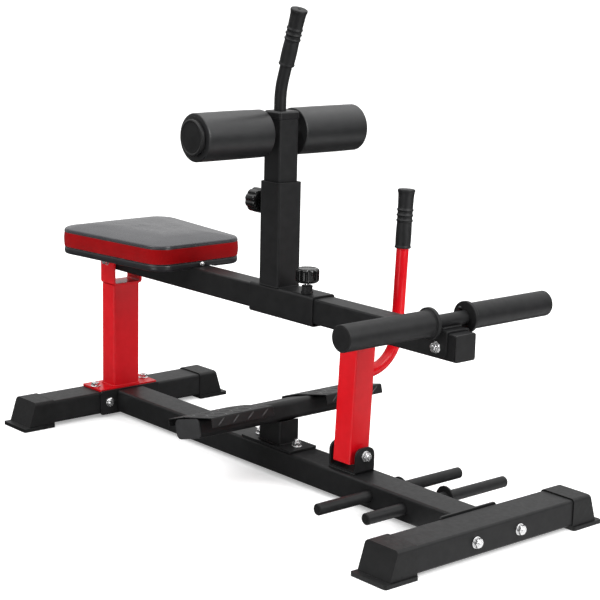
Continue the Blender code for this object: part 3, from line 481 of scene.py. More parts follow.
def keep_frame_nodes():
    black = [
        "main_beam", "crossbar_rear", "crossbar_front", "end_plate_rear", "end_plate_front",
        "support_clevis", "foot_post", "foot_tube", "foot_plate_left", "foot_plate_right",
        "lever", "horn_saddle", "carriage", "pad_sleeve", "pad_post",
    ]
    for name in black:
        smooth_node(name, BLACK_COAT)
    for name in ("rear_upright", "pivot_bracket", "support_post"):
        smooth_node(name, RED_COAT)
    for name in ("lever_end_cap", "pad_post_cap"):
        smooth_node(name, PLASTIC)
    for side in ("left", "right"):
        smooth_node(f"foot_tube_cap_{side}", PALE_PLASTIC)
        for end in ("rear", "front"):
            smooth_node(f"foot_cap_{end}_{side}", RUBBER, 0.0016)
    for name in ("carriage_pin", "pad_pin", "roller_axle"):
        smooth_node(name, ZINC, 0.0003)


# ---- fasteners
def washer_shell(axis, centre, seat, way, radius, thickness):
    profile = [
        (0.004, seat), (radius - 0.0004, seat), (radius, seat + way * thickness * 0.3),
        (radius, seat + way * thickness * 0.7), (radius - 0.0004, seat + way * thickness),
        (0.004, seat + way * thickness),
    ]
    return turned_shell(axis, profile, centre)


def nut_shell(axis, centre, start, way, across, height):
    """A hexagonal nut or head with both faces chamfered."""
    corner = across / 2 / math.cos(math.pi / 6)
    inner = across / 2 * 0.97
    sections = [
        (hexagon(across, inner), start), (hexagon(across, corner), start + way * 0.0006),
        (hexagon(across, corner), start + way * (height - 0.0011)),
        (hexagon(across, (inner + corner) / 2), start + way * (height - 0.0004)),
        (hexagon(across, inner), start + way * height),
        (hexagon(across, inner * 0.70), start + way * height),
    ]
    return stacked_shell(axis, sections, centre)


def thread_shell(axis, centre, start, end, radius):
    """A thread's end: ridges and a chamfered tip."""
    way = 1 if end > start else -1
    profile = [(radius * 0.8, start)]
    along = start
    while abs(end - along) > 0.0014:
        profile.append((radius, along + way * THREAD_PITCH / 2))
        profile.append((radius * 0.87, along + way * THREAD_PITCH))
        along += way * THREAD_PITCH
    profile += [(radius * 0.80, end - way * 0.0003), (radius * 0.62, end)]
    return turned_shell(axis, profile, centre)


def dome_shell(axis, centre, face, way, radius, height):
    """A bolt's or screw's domed head, with a thin upright rim."""
    rim = 0.0006
    profile = [(radius, face), (radius, face + way * rim)]
    for i in range(1, 9):
        turn = i * math.pi / 18
        rise = rim + (height - rim) * math.sin(turn)
        profile.append((radius * math.cos(turn), face + way * rise))
    profile.append((0.0, face + way * height))
    return turned_shell(axis, profile, centre)


def nut_end(axis, centre, seat, end):
    """A washer, a nut and a thread's end, from the seat outwards."""
    way = 1 if end > seat else -1
    nut = seat + way * 0.0017
    return [
        washer_shell(axis, centre, seat, way, WASHER_RADIUS, 0.0016),
        nut_shell(axis, centre, nut, way, NUT_ACROSS, 0.0072),
        thread_shell(axis, centre, nut + way * 0.004, end, THREAD_RADIUS),
    ]


def centre_of(name, axis, way=1):
    """The two middle coordinates of a CAD node across an axis, and its start and end along it."""
    low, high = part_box(name)
    middle = (low + high) / 2
    across = {"X": (middle.y, middle.z), "Y": (middle.x, middle.z), "Z": (middle.x, middle.y)}[axis]
    index = "XYZ".index(axis)
    start, end = (low[index], high[index])[::way]
    return across, start, end


def bolt_piece(name, shells, body):
    finish_piece(mesh_object(f"{name}_look", shells), body, "zinc", ZINC, name)


def crossbar_bolts():
    for end, way in (("rear", -1), ("front", 1)):
        for side in ("left", "right"):
            name = f"crossbar_bolt_{end}_{side}"
            centre, inner, outer = centre_of(name, "X", way)
            seat = outer - way * NUT_REACH["crossbar"]
            head = inner + way * DOME_HEIGHT
            shells = [dome_shell("X", centre, head, -way, DOME_RADIUS, DOME_HEIGHT)]
            bolt_piece(name, shells + nut_end("X", centre, seat, outer), "base")


def standing_bolts():
    """The studs through the upright's plate and the bolts through the foot post's plate."""
    for name in ("upright_bolt_left", "upright_bolt_right", "foot_bolt_rear", "foot_bolt_front"):
        centre, low, high = centre_of(name, "Z")
        place = name.split("_")[0]
        shells = nut_end("Z", centre, high - NUT_REACH[place], high)
        if place == "foot":
            shells.append(dome_shell("Z", centre, low + DOME_HEIGHT, -1, DOME_RADIUS, DOME_HEIGHT))
        bolt_piece(name, shells, "base")


def pivot_bolts():
    """Hexagon-headed bolts across the pivots and the saddle."""
    rows = (
        ("lever_pivot_bolt", "Y", "base", 0.006, -1),
        ("support_pivot_bolt", "X", "base", 0.005, 1),
        ("saddle_bolt", "Y", "lever", 0.005, -1),
    )
    for name, axis, body, radius, way in rows:
        centre, start, end = centre_of(name, axis, way)
        head = start + way * 0.0085
        seat = end - way * 0.0100
        across = radius * 3.2
        shells = [
            nut_shell(axis, centre, head - way * 0.0015, -way, across, 0.0062),
            washer_shell(axis, centre, head, -way, radius * 2.1, 0.0014),
            washer_shell(axis, centre, seat, way, radius * 2.1, 0.0014),
            nut_shell(axis, centre, seat + way * 0.0015, way, across, 0.0066),
            thread_shell(axis, centre, seat + way * 0.005, end, radius),
        ]
        bolt_piece(name, shells, body)


def seat_screw():
    centre, low, high = centre_of("seat_front_screw", "X")
    dome = dome_shell("X", centre, low, 1, 0.0056, high - low)
    bolt_piece("seat_front_screw", [dome], "lever")


# ---- seat
def seat_outline(inset):
    """The seat's outline, drawn in by inset towards its middle."""
    low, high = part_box("seat_cushion")
    rear, front, half = low.x, high.x, high.y
    corners = [
        Vector((rear + inset, -half + inset)),
        Vector((front - inset, -SEAT_FRONT_HALF_Y + inset)),
        Vector((front - inset, SEAT_FRONT_HALF_Y - inset)),
        Vector((rear + inset, half - inset)),
    ]
    radii = [SEAT_REAR_RADIUS, SEAT_FRONT_RADIUS, SEAT_FRONT_RADIUS, SEAT_REAR_RADIUS]
    radii = [max(radius - inset, 0.006) for radius in radii]
    return filled_sides(rounded_outline(corners, radii, SEAT_CORNER_STEPS))


def filled_sides(outline):
    """Adds points along the straight sides between the seat outline's rounded corners."""
    points = []
    for i, point in enumerate(outline):
        points.append(point)
        if i % (SEAT_CORNER_STEPS + 1) == SEAT_CORNER_STEPS:
            after = outline[(i + 1) % len(outline)]
            points += [point.lerp(after, k / SEAT_SIDE_PARTS) for k in range(1, SEAT_SIDE_PARTS)]
    return points


def seat_rows():
    """Insets and heights from the cushion's underside, up its side band, to its crown."""
    low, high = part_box("seat_cushion")
    bottom = low.z
    band = SEAT_SEAM_Z - bottom
    rows = [(0.10, bottom), (0.06, bottom), (0.02, bottom), (0.004, bottom), (0.0010, bottom + 0.0004)]
    for i in range(9):
        share = i / 8
        swell = 0.0014 * math.sin(math.pi * share)
        rows.append((-0.0004 - swell, bottom + 0.0014 + (band - 0.0030) * share))
    start = SEAT_SEAM_Z + 0.0014
    rows += [(0.0004, SEAT_SEAM_Z), (0.0002, start)]
    shoulder = 0.0155
    rise = 0.0108
    for i in range(1, 8):
        turn = i / 8 * math.pi / 2
        rows.append((0.0002 + shoulder * (1 - math.cos(turn)), start + rise * math.sin(turn)))
    start += rise
    edge = 0.0157
    for inset in (0.020, 0.025, 0.031, 0.039, 0.048, 0.058, 0.068, 0.078, 0.088, 0.096):
        share = (inset - edge) / (SEAT_MIDDLE_INSET - edge)
        rows.append((inset, start + (high.z - 0.0015 - start) * math.sin(share * math.pi / 2)))
    return rows


def make_cushion():
    """The seat pad: a red side band sewn between the black top and the black underside."""
    inner = seat_outline(SEAT_CORE_INSET)
    middle = Vector((sum(point.x for point in inner) / len(inner), 0))
    loops = []
    for inset, height in seat_rows():
        outline = seat_outline(min(inset, SEAT_CORE_INSET))
        if inset > SEAT_CORE_INSET:
            share = (inset - SEAT_CORE_INSET) / (SEAT_MIDDLE_INSET - SEAT_CORE_INSET)
            outline = [point.lerp(middle, share) for point in outline]
        loops.append([Vector((point.x, point.y, height)) for point in outline])
    return mesh_object("seat_pad", [(loops, "caps")])


def seat_materials(cushion):
    """The side band is red vinyl and the rest black vinyl, in its copy painted lighter as painted
    light on the top.
    """
    low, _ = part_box("seat_cushion")
    for material in (LIT_TOP_VINYL, SIDE_VINYL):
        cushion.data.materials.append(material)
    for face in cushion.data.polygons:
        upright = abs(face.normal.z) < 0.75
        in_band = low.z + 0.0002 < face.center.z < SEAT_SEAM_Z - 0.0008
        face.material_index = 1 if upright and in_band else 0


def cloth_places(obj, held, pressure):
    """Where trapped air pushes a cover's vertices in a cloth simulation, with held ones fixed."""
    group = obj.vertex_groups.new(name="held")
    for i, weight in held.items():
        group.add([i], weight, "REPLACE")
    cloth = obj.modifiers.new("cloth", "CLOTH")
    settings = cloth.settings
    settings.quality = 6
    settings.mass = 0.3
    settings.tension_stiffness = 25
    settings.compression_stiffness = 25
    settings.bending_stiffness = 2.0
    settings.use_pressure = True
    settings.uniform_pressure_force = pressure
    settings.vertex_group_mass = "held"
    settings.pin_stiffness = 1.0
    settings.effector_weights.gravity = 0
    cloth.point_cache.frame_start = 1
    cloth.point_cache.frame_end = CLOTH_FRAMES
    for step in range(1, CLOTH_FRAMES + 1):
        bpy.context.scene.frame_set(step)
    graph = bpy.context.evaluated_depsgraph_get()
    swollen = [vertex.co.copy() for vertex in obj.evaluated_get(graph).data.vertices]
    obj.modifiers.remove(cloth)
    obj.vertex_groups.clear()
    return swollen


def inflate(obj, held, pressure, most):
    """Swells a cover by cloth simulation, mostly by the same rise for a whole row of vertices."""
    start = [vertex.co.copy() for vertex in obj.data.vertices]
    pushes = [moved - rest for rest, moved in zip(start, cloth_places(obj, held, pressure))]
    rows = {}
    for rest, push in zip(start, pushes):
        rows.setdefault(round(rest.z, 6), []).append(push)
    for vertex, rest, push in zip(obj.data.vertices, start, pushes):
        row = rows[round(rest.z, 6)]
        shared = sum(row, Vector()) / len(row)
        moved = Vector((0, 0, shared.z)) * 0.9 + push * 0.1
        vertex.co = rest + moved * min(1.0, most / max(moved.length, 1e-6))
    obj.data.update()
    bpy.context.scene.frame_set(1)


def make_seat():
    """The cushion, swollen above its seam, and the sewn cord round it."""
    cushion = make_cushion()
    held = {}
    for vertex in cushion.data.vertices:
        over = (vertex.co.z - SEAT_SEAM_Z - 0.001) / 0.008
        held[vertex.index] = 1.0 - 0.999 * min(max(over, 0.0), 1.0)
    inflate(cushion, held, 4.0, 0.006)
    seat_materials(cushion)
    round_off = cushion.modifiers.new("round", "SUBSURF")
    round_off.levels = 1
    round_off.render_levels = 1
    finish_piece(cushion, "lever", "vinyl_black", None, "seat_cushion")
    welt = welt_object("seat_welt", SEAT_SEAM_Z + 0.0002, 0.0002, 0.0010)
    finish_piece(welt, "lever", "vinyl_black", EDGE_VINYL)


def welt_object(name, height, inset, radius):
    """A thin sewn cord round the cushion's seam."""
    path = [Vector((point.x, point.y, height)) for point in seat_outline(inset)]
    count = len(path)
    loops = []
    for i, point in enumerate(path):
        along = (path[(i + 1) % count] - path[i - 1]).normalized()
        out = along.cross(Vector((0, 0, 1)))
        ring = [point + out * across.x + Vector((0, 0, across.y)) for across in circle(radius, 10)]
        loops.append(ring)
    return mesh_object(name, [(loops, "ring")])


def skirt_height(point, height):
    """A skirt point's height, lifted where the skirt would meet the lever."""
    low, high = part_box("seat_board")
    share = min(max((abs(point.y) - SEAT_NOTCH_HALF_Y) / 0.003, 0.0), 1.0)
    if point.x < (low.x + high.x) / 2:
        share = 1.0
    return height + (max(height, low.z) - height) * (1 - share)


def make_board():
    """The seat's board under its stapled cover, whose rolled edge hangs below the board."""
    low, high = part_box("seat_board")
    skirt = SEAT_SKIRT_Z
    rows = [
        (0.0140, low.z + 0.0004), (0.0095, low.z + 0.0002), (0.0080, skirt + 0.0016),
        (0.0068, skirt + 0.0004), (0.0045, skirt), (0.0024, skirt + 0.0002),
        (0.0010, skirt + 0.0012), (0.0002, skirt + 0.0030), (-0.0002, skirt + 0.0060),
        (0.0000, skirt + 0.0095), (0.0004, high.z - 0.0010), (0.0012, high.z), (0.02, high.z),
    ]
    loops = []
    for inset, z in rows:
        outline = seat_outline(inset)
        loops.append([Vector((p.x, p.y, skirt_height(p, z))) for p in outline])
    board = mesh_object("seat_base", [(loops, "caps")])
    finish_piece(board, "lever", "board_black", EDGE_VINYL, "seat_board")
    board.data.materials.append(UNDER_CLOTH)
    for face in board.data.polygons:
        if face.normal.z < -0.9 and face.center.z > low.z - 0.0002:
            face.material_index = 1


# ---- thigh rollers
def foam_profile(start, end, radius):
    """A foam roller's half section, a little fuller in the middle than at its ends."""
    edge = 0.0020
    swell = 0.0003
    steps = 44
    rim = radius - swell
    turns = [i * math.pi / 10 for i in range(1, 5)]
    rolled = [(rim - edge * (1 - math.sin(t)), edge * (1 - math.cos(t))) for t in turns]
    points = [(FOAM_BORE, start + 0.0003), (rim - 0.012, start - 0.0003), (rim - edge, start)]
    points += [(reach, start + step) for reach, step in rolled]
    for i in range(steps + 1):
        share = i / steps
        along = start + edge + (end - start - 2 * edge) * share
        points.append((rim + swell * math.sin(math.pi * share), along))
    points += [(reach, end - step) for reach, step in rolled[::-1]]
    return points + [(rim - edge, end), (rim - 0.012, end + 0.0002), (FOAM_BORE, end)]


def make_roller(side, way):
    low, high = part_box(f"roller_{side}")
    radius = (high.z - low.z) / 2
    near, far = sorted((abs(low.y - AXLE_Y), abs(high.y - AXLE_Y)))
    profile = [(r, AXLE_Y + way * along) for r, along in foam_profile(near, far, radius)]
    roller = mesh_object(f"foam_{side}", [turned_shell("Y", profile, AXLE, "ring")])
    for vertex in roller.data.vertices:
        across = Vector((vertex.co.x - AXLE[0], 0, vertex.co.z - AXLE[1]))
        lift = noise.noise(vertex.co * 22.0) * 0.0003
        vertex.co += across.normalized() * lift
    finish_piece(roller, f"roller_{side}", "foam_black", FOAM, f"roller_{side}")
    make_roller_plug(side, way, far)


def make_roller_plug(side, way, foam_end):
    """The plug in a roller's outer end, with a rolled rim round a shallow dish."""
    name = f"roller_plug_{side}"
    low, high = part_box(name)
    face = max(abs(low.y - AXLE_Y), abs(high.y - AXLE_Y))
    radius = (high.z - low.z) / 2
    profile = [
        (PLUG_BORE, foam_end + 0.0004), (radius - 0.0005, foam_end + 0.0004),
        (radius, foam_end + 0.0012), (radius, face - 0.0028), (radius - 0.0008, face - 0.0012),
        (radius - 0.0030, face - 0.0002), (radius - 0.0050, face - 0.0006),
        (radius - 0.0062, face - 0.0013), (radius * 0.5, face - 0.0010), (0.0, face - 0.0008),
    ]
    profile = [(r, AXLE_Y + way * along) for r, along in profile]
    look = ("plastic_black", PLASTIC)
    turned_piece(f"roller_end_{side}", "Y", profile, AXLE, f"roller_{side}", *look, name)


# ---- handles and grips
def grip_shell(base, along, side):
    """A moulded grip: collar, palm swell, three ribs and a flared end with a vent hole."""
    up = along.cross(side)
    length = GRIP_LENGTH
    swell_start = 0.006
    rows = [(0.0123, 0.0), (0.0152, 0.0), (0.0158, 0.0010), (0.0158, 0.0030), (0.0149, 0.0046)]
    steps = 60
    for i in range(steps + 1):
        share = i / steps
        height = swell_start + (length * 0.90 - swell_start) * share
        rows.append((0.0146 + rib_swell(height / length), height))
    rows += [
        (0.0160, length * 0.935), (0.0168, length * 0.960), (0.0170, length - 0.0022),
        (0.0163, length - 0.0006), (0.0150, length), (0.0040, length), (0.0029, length - 0.0006),
        (0.0028, length - 0.0040), (0.0002, length - 0.0042),
    ]
    loops = []
    for radius, height in rows:
        middle = base + along * height
        loops.append([middle + side * p.x + up * p.y for p in circle(radius, 56)])
    return loops, "open"


def rib_swell(share):
    """How far a grip swells at a share of its length."""
    swell = 0.0006 * math.sin(math.pi * min(share / 0.42, 1.0))
    for rib in (0.47, 0.56, 0.65):
        swell += 0.0019 * math.exp(-(((share - rib) / 0.016) ** 2))
    return swell + 0.0008 * max(share - 0.66, 0.0) / 0.24


def handle_object(name, path):
    """A bent round tube along a path."""
    return mesh_object(name, [swept_shell(path, [HANDLE_RADIUS] * len(path))])


def make_pad_handle():
    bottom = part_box("pad_handle")[0].z
    base = Vector((PAD_HANDLE_X, 0, bottom))
    bend = Vector((PAD_HANDLE_X, 0, PAD_HANDLE_BEND_Z))
    lean = Vector((math.sin(PAD_HANDLE_LEAN), 0, math.cos(PAD_HANDLE_LEAN)))
    end = bend + lean * (PAD_GRIP_START + GRIP_LENGTH - 0.010)
    path = softened([base, bend, end], 0.150, 16, 0.99)
    finish_piece(handle_object("thigh_handle", path), "pad_post", *BLACK, "pad_handle")
    shell = grip_shell(bend + lean * PAD_GRIP_START, lean, Vector((0, 1, 0)))
    grip = mesh_object("thigh_handle_grip", [shell])
    finish_piece(grip, "pad_post", *GRIP, "pad_handle_grip")


def leaned(point):
    """A point of the support, which leans at rest, from where it would stand upright."""
    pivot = Vector(SUPPORT_PIVOT)
    turn = Matrix.Rotation(-SUPPORT_LEAN, 3, "X")
    return pivot + turn @ (Vector(point) - pivot)


def make_support_handle():
    x = SUPPORT_PIVOT[0]
    start = leaned((x, SUPPORT_HALF + 0.0003, SUPPORT_HANDLE_Z))
    corner = leaned((x, SUPPORT_HANDLE_Y, SUPPORT_HANDLE_Z))
    end = leaned((x, SUPPORT_HANDLE_Y, SUPPORT_GRIP_Z + GRIP_LENGTH - 0.010))
    path = softened([start, corner, end], SUPPORT_HANDLE_BEND, 24, 0.99)
    finish_piece(handle_object("lift_handle", path), "support", *RED, "support_handle")
    base = leaned((x, SUPPORT_HANDLE_Y, SUPPORT_GRIP_Z))
    along = (end - base).normalized()
    grip = mesh_object("lift_handle_grip", [grip_shell(base, along, Vector((1, 0, 0)))])
    finish_piece(grip, "support", *GRIP, "support_grip")


# ---- pins and knobs
def knob_shell(axis, centre, start, end):
    """A fluted knob with a rolled rim and a shallow dish in its outer face."""
    way = 1 if end > start else -1
    radius = KNOB_RADIUS[axis]
    sections = [
        (circle(radius * 0.30, KNOB_STEPS), start + way * 0.0005),
        (circle(radius * 0.45, KNOB_STEPS), start),
        (fluted(radius * 0.80, 0.0004), start + way * 0.0016),
        (fluted(radius * 0.93, 0.0014), start + way * 0.0036),
        (fluted(radius * 0.99, 0.0026), start + way * 0.0060),
        (fluted(radius, 0.0030), start + way * 0.0080), (fluted(radius, 0.0030), end - way * 0.0060),
        (fluted(radius * 0.985, 0.0026), end - way * 0.0036),
        (fluted(radius * 0.94, 0.0018), end - way * 0.0016),
        (fluted(radius * 0.87, 0.0006), end - way * 0.0003), (circle(radius * 0.78, KNOB_STEPS), end),
        (circle(radius * 0.66, KNOB_STEPS), end - way * 0.0003),
        (circle(radius * 0.60, KNOB_STEPS), end - way * 0.0010),
        (circle(radius * 0.20, KNOB_STEPS), end - way * 0.0012),
    ]
    return stacked_shell(axis, sections, centre)


def barrel_shells(axis, centre, seat, end):
    """A pull pin's housing: a hexagonal foot, a turned barrel and a lip."""
    way = 1 if end > seat else -1
    profile = [
        (0.0050, seat + way * 0.004), (0.0098, seat + way * 0.004), (0.0104, seat + way * 0.0046),
        (0.0104, end - way * 0.0040), (0.0110, end - way * 0.0034), (0.0110, end - way * 0.0014),
        (0.0098, end - way * 0.0002), (0.0062, end), (0.0050, end - way * 0.0010),
    ]
    foot = nut_shell(axis, centre, seat, way, 0.0210, 0.0060)
    return [foot, turned_shell(axis, profile, centre, "open")]


def make_pins():
    rows = (("carriage_pin", "Z", "carriage_pin_barrel", 1), ("pad_pin", "X", "pad_pin_barrel", -1))
    for pin, axis, barrel, way in rows:
        centre, start, end = centre_of(f"{pin}_knob", axis, way)
        start -= way * KNOB_SKIRT[axis]
        knob = mesh_object(f"{pin}_grip", [knob_shell(axis, centre, start, end)])
        finish_piece(knob, pin, "plastic_black", GLOSS_PLASTIC, f"{pin}_knob")
        centre, start, end = centre_of(barrel, axis, way)
        housing = mesh_object(f"{pin}_housing", barrel_shells(axis, centre, start, end))
        finish_piece(housing, "carriage", obj_slot(barrel), BLACK_COAT, barrel)


# ---- weight horns and storage rods
def make_sleeve(side, way):
    """A plate sleeve: a welded flange, a smooth barrel and a pressed end cap."""
    low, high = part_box(f"weight_sleeve_{side}")
    near, far = sorted((abs(low.y), abs(high.y)))
    flange = (high.z - low.z) / 2
    barrel = PLATE_SLEEVE_RADIUS
    profile = [
        (0.0129, near), (flange - 0.0009, near), (flange, near + 0.0009), (flange, near + 0.0066),
        (flange - 0.0009, near + 0.0078), (barrel + 0.0020, near + 0.0080), (barrel, near + 0.0098),
        (barrel, far - 0.0012), (barrel - 0.0006, far - 0.0003), (barrel - 0.0016, far),
        (barrel - 0.0030, far - 0.0005), (barrel - 0.0036, far - 0.0002), (0.0, far - 0.0001),
    ]
    profile = [(radius, way * along) for radius, along in profile]
    name = f"plate_sleeve_{side}"
    turned_piece(name, "Y", profile, HORN, "lever", *BLACK, f"weight_sleeve_{side}", soft=0.0004)


def make_horn():
    """The cross tube between the plate sleeves, and a small screw on each sleeve's flange."""
    low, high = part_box("horn_tube")
    radius = (high.z - low.z) / 2
    span = [low.y + (high.y - low.y) * i / 24 for i in range(25)]
    profile = [(radius, along) for along in span]
    bore = [(radius - 0.0026, along) for along in span[::-1]]
    shell = turned_shell("Y", profile + bore, HORN, "ring")
    finish_piece(mesh_object("horn_bar", [shell]), "lever", *BLACK, "horn_tube")
    for side, way in (("left", 1), ("right", -1)):
        low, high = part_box(f"weight_sleeve_{side}")
        face = min(abs(low.y), abs(high.y))
        centre = (HORN[0] - 0.0115, HORN[1] + 0.0145)
        screw = dome_shell("Y", centre, way * (face + 0.0002), -way, 0.0044, 0.0034)
        bolt = mesh_object(f"flange_screw_{side}", [screw])
        finish_piece(bolt, "lever", "black_powder_coat", GLOSS_PLASTIC)


def make_rod(name):
    """A storage rod with its welded stop collar and plugged ends."""
    (x, z), low, high = centre_of(name, "Y")
    collar = ROD_COLLAR_Y[name]
    radius = ROD_RADIUS
    half = [
        (radius, 0.0020), (radius - 0.0010, 0.0005), (radius - 0.0022, 0.0), (radius - 0.0032, 0.0009),
        (radius - 0.0050, 0.0012), (0.0, 0.0010),
    ]
    profile = [(r, low + step) for r, step in half[::-1]]
    profile += [
        (radius, collar - 0.0020), (ROD_COLLAR_RADIUS - 0.0008, collar - 0.0020),
        (ROD_COLLAR_RADIUS, collar - 0.0012), (ROD_COLLAR_RADIUS, collar + 0.0012),
        (ROD_COLLAR_RADIUS - 0.0008, collar + 0.0020), (radius + 0.0014, collar + 0.0022),
        (radius, collar + 0.0042),
    ]
    profile += [(r, high - step) for r, step in half]
    turned_piece(f"{name}_look", "Y", profile, (x, z), name, *BLACK, name, soft=0.0004)


# ---- weld beads and treads
def bead(name, path, radius, body, slot, material, closed=False, pitch=0.0034):
    """A weld bead along a path: ripples that overlap like dropped coins."""
    points = resampled([Vector(point) for point in path], pitch / 5, closed)
    radii = []
    for i, point in enumerate(points):
        ripple = 0.86 + 0.14 * abs(math.cos(math.pi * i / 5))
        radii.append(radius * ripple * (1 + 0.10 * noise.noise(point * 140.0)))
    shell = swept_shell(points, radii, 12)
    return finish_piece(mesh_object(name, [shell]), body, slot, material)


def resampled(path, step, closed):
    """Points a fixed step apart along a line."""
    if closed:
        path = path + [path[0]]
    points = [path[0]]
    left = step
    for start, end in zip(path, path[1:]):
        length = (end - start).length
        travelled = left
        while travelled <= length:
            points.append(start.lerp(end, travelled / length))
            travelled += step
        left = travelled - length
    return points


def rectangle_path(rectangle, z):
    """A level rounded rectangle from its middle in X and its half sizes in X and Y."""
    x, half_x, half_y = rectangle
    signs = ((-1, -1), (1, -1), (1, 1), (-1, 1))
    corners = [Vector((x + half_x * u, half_y * v)) for u, v in signs]
    return [Vector((point.x, point.y, z)) for point in rounded_outline(corners, [WELD_CORNER] * 4, 5)]


def make_welds():
    plate_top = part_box("foot_bolt_front")[1].z - NUT_REACH["foot"]
    upright = rectangle_path(UPRIGHT_WELD, plate_top + 0.0004)
    bead("weld_upright", upright, 0.0021, "base", *RED, closed=True)
    post = rectangle_path(FOOT_POST_WELD, plate_top + 0.0004)
    bead("weld_foot_post", post, 0.0021, "base", *BLACK, closed=True)
    sleeve = rectangle_path(PAD_SLEEVE_WELD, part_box("carriage")[1].z + 0.0002)
    bead("weld_pad_sleeve", sleeve, 0.0014, "carriage", *BLACK, closed=True)
    low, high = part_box("support_clevis")
    for side, y in (("left", high.y), ("right", low.y)):
        path = [(low.x + 0.002, y, low.z + 0.0008), (high.x - 0.002, y, low.z + 0.0008)]
        bead(f"weld_clevis_{side}", path, 0.0022, "base", *BLACK)
    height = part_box("horn_saddle")[1].z + 0.0012
    for end, x in (("rear", HORN[0] - 0.0085), ("front", HORN[0] + 0.0085)):
        path = [(x, -0.024, height), (x, 0.024, height)]
        bead(f"weld_horn_{end}", path, 0.0034, "lever", *BLACK, pitch=0.0080)


def on_foot(s, n, y):
    """A point s along the tilted foot rest, n above its tube's middle."""
    x = FOOT_TUBE_CENTRE[0] + s * math.cos(FOOT_TILT) - n * math.sin(FOOT_TILT)
    z = FOOT_TUBE_CENTRE[1] + s * math.sin(FOOT_TILT) + n * math.cos(FOOT_TILT)
    return Vector((x, y, z))


def lozenge(centre, along, across, normal):
    """A raised tread bar with sloping sides."""
    loops = []
    for share, rise in ((1.0, -0.0002), (0.84, 0.0007), (0.45, 0.0012)):
        ring = [along * (p.x * share) + across * (p.y * share) for p in circle(1.0, 16)]
        loops.append([centre + point + normal * rise for point in ring])
    return loops, "caps"


def across_plate(way, margin, share):
    """The Y at a share of a foot plate's width, inside a margin at each side."""
    near, far = FOOT_PLATE_Y
    return way * (near + margin + (far - near - 2 * margin) * share)


def top_treads(way):
    """Crossed rows of bars on a foot plate's sloping top."""
    bend = Vector(FOOT_PLATE_BEND)
    slope = (Vector(FOOT_PLATE_FRONT) - bend).normalized()
    forward = on_foot(slope.x, slope.y, 0) - on_foot(0, 0, 0)
    normal = forward.cross(Vector((0, 1, 0)))
    normal = normal if normal.z > 0 else -normal
    shells = []
    for row in range(4):
        for column in range(5):
            flip = 1 if (row + column) % 2 else -1
            point = bend + slope * (0.010 + 0.0215 * row)
            centre = on_foot(point.x, point.y, across_plate(way, 0.016, column / 4))
            along = (forward + Vector((0, flip * 0.9, 0))).normalized()
            shells.append(lozenge(centre, along * 0.0105, normal.cross(along) * 0.0024, normal))
    return shells


def lip_treads(way):
    """A row of slanted bars on a foot plate's front lip."""
    x, z = FOOT_PLATE_FRONT
    down = on_foot(0, -1, 0) - on_foot(0, 0, 0)
    face = on_foot(1, 0, 0) - on_foot(0, 0, 0)
    along = (down - Vector((0, 1.3, 0))).normalized()
    shells = []
    for column in range(4):
        centre = on_foot(x + 0.0011, z - 0.0100, across_plate(way, 0.022, column / 3))
        shells.append(lozenge(centre, along * 0.0115, face.cross(along) * 0.0017, face))
    return shells


def make_treads(side, way):
    treads = mesh_object(f"foot_treads_{side}", top_treads(way) + lip_treads(way))
    # The treads take the copy of the black paint that is painted lighter as a painted highlight.
    finish_piece(treads, "base", "black_powder_coat", TREAD_HIGHLIGHT_COAT)


# ---- studio
def studio_plane(name, material, size, place):
    bpy.ops.mesh.primitive_grid_add(x_subdivisions=2, y_subdivisions=2, size=size, location=place)
    plane = bpy.context.object
    plane.name = name
    plane.data.materials.append(material)
    return plane


def make_floor():
    """A pale studio floor that glows a little, and that reflections do not show."""
    made, tree, shader, place = new_material(
        "studio_paper", Roughness=0.9, Specular_IOR_Level=0.1,
        Emission_Color=(1, 1, 1, 1), Emission_Strength=0.34,
    )
    paint_colour(tree, shader, place, (0.86, 0.86, 0.86), (0.88, 0.88, 0.88), 3.0)
    floor = studio_plane("studio_floor", made, 60, (0, 0, 0))
    floor.visible_glossy = False


def make_card():
    """A pale card beside the machine, which only reflections show."""
    made, tree, shader, place = new_material(
        "studio_card", Roughness=0.9, Emission_Color=(1, 1, 1, 1), Emission_Strength=0.9,
    )
    paint_colour(tree, shader, place, (0.20, 0.20, 0.20), (0.22, 0.22, 0.22), 3.0)
    card = studio_plane("studio_card", made, 1, (0.98, 0.35, -0.001))
    card.scale = (1.15, 1.7, 1)
    card.visible_camera = False
    card.visible_diffuse = False
    card.visible_shadow = False


def facing(tree, place, direction):
    """How far a direction of view lies towards a given direction."""
    made = node(tree, "ShaderNodeVectorMath", operation="DOT_PRODUCT", vector=place)
    made.inputs[1].default_value = direction
    return made.outputs["Value"]


def combined(tree, operation, one, two):
    made = node(tree, "ShaderNodeMath", operation=operation)
    tree.links.new(one, made.inputs[0])
    tree.links.new(two, made.inputs[1])
    return made.outputs[0]


def sky_shade(tree, place):
    """The studio's brightness by direction: light walls behind and a light ceiling, dark in front."""
    back = (-math.sin(CAMERA_AZIMUTH), math.cos(CAMERA_AZIMUTH), 0.25)
    walls = remapped(tree, facing(tree, place, back), -0.25, 0.75, 0.10, 0.82, "SMOOTHSTEP")
    height = node(tree, "ShaderNodeSeparateXYZ", vector=place).outputs[2]
    ceiling = remapped(tree, height, 0.34, 0.66, 0.0, 1.5, "SMOOTHSTEP")
    above = remapped(tree, height, -0.06, 0.02, 0.15, 1.0)
    total = combined(tree, "MULTIPLY", combined(tree, "MAXIMUM", walls, ceiling), above)
    for azimuth in STRIP_AZIMUTHS:
        direction = Vector((math.cos(azimuth), math.sin(azimuth), -0.2)).normalized()
        total = with_strip(tree, place, direction, total)
    return total


def with_strip(tree, place, direction, under):
    """Adds a small bright softbox, which makes a streak on upright tubes."""
    strip = remapped(tree, facing(tree, place, direction), 0.968, 0.988, 0.0, 3.0, "SMOOTHSTEP")
    return combined(tree, "ADD", under, strip)


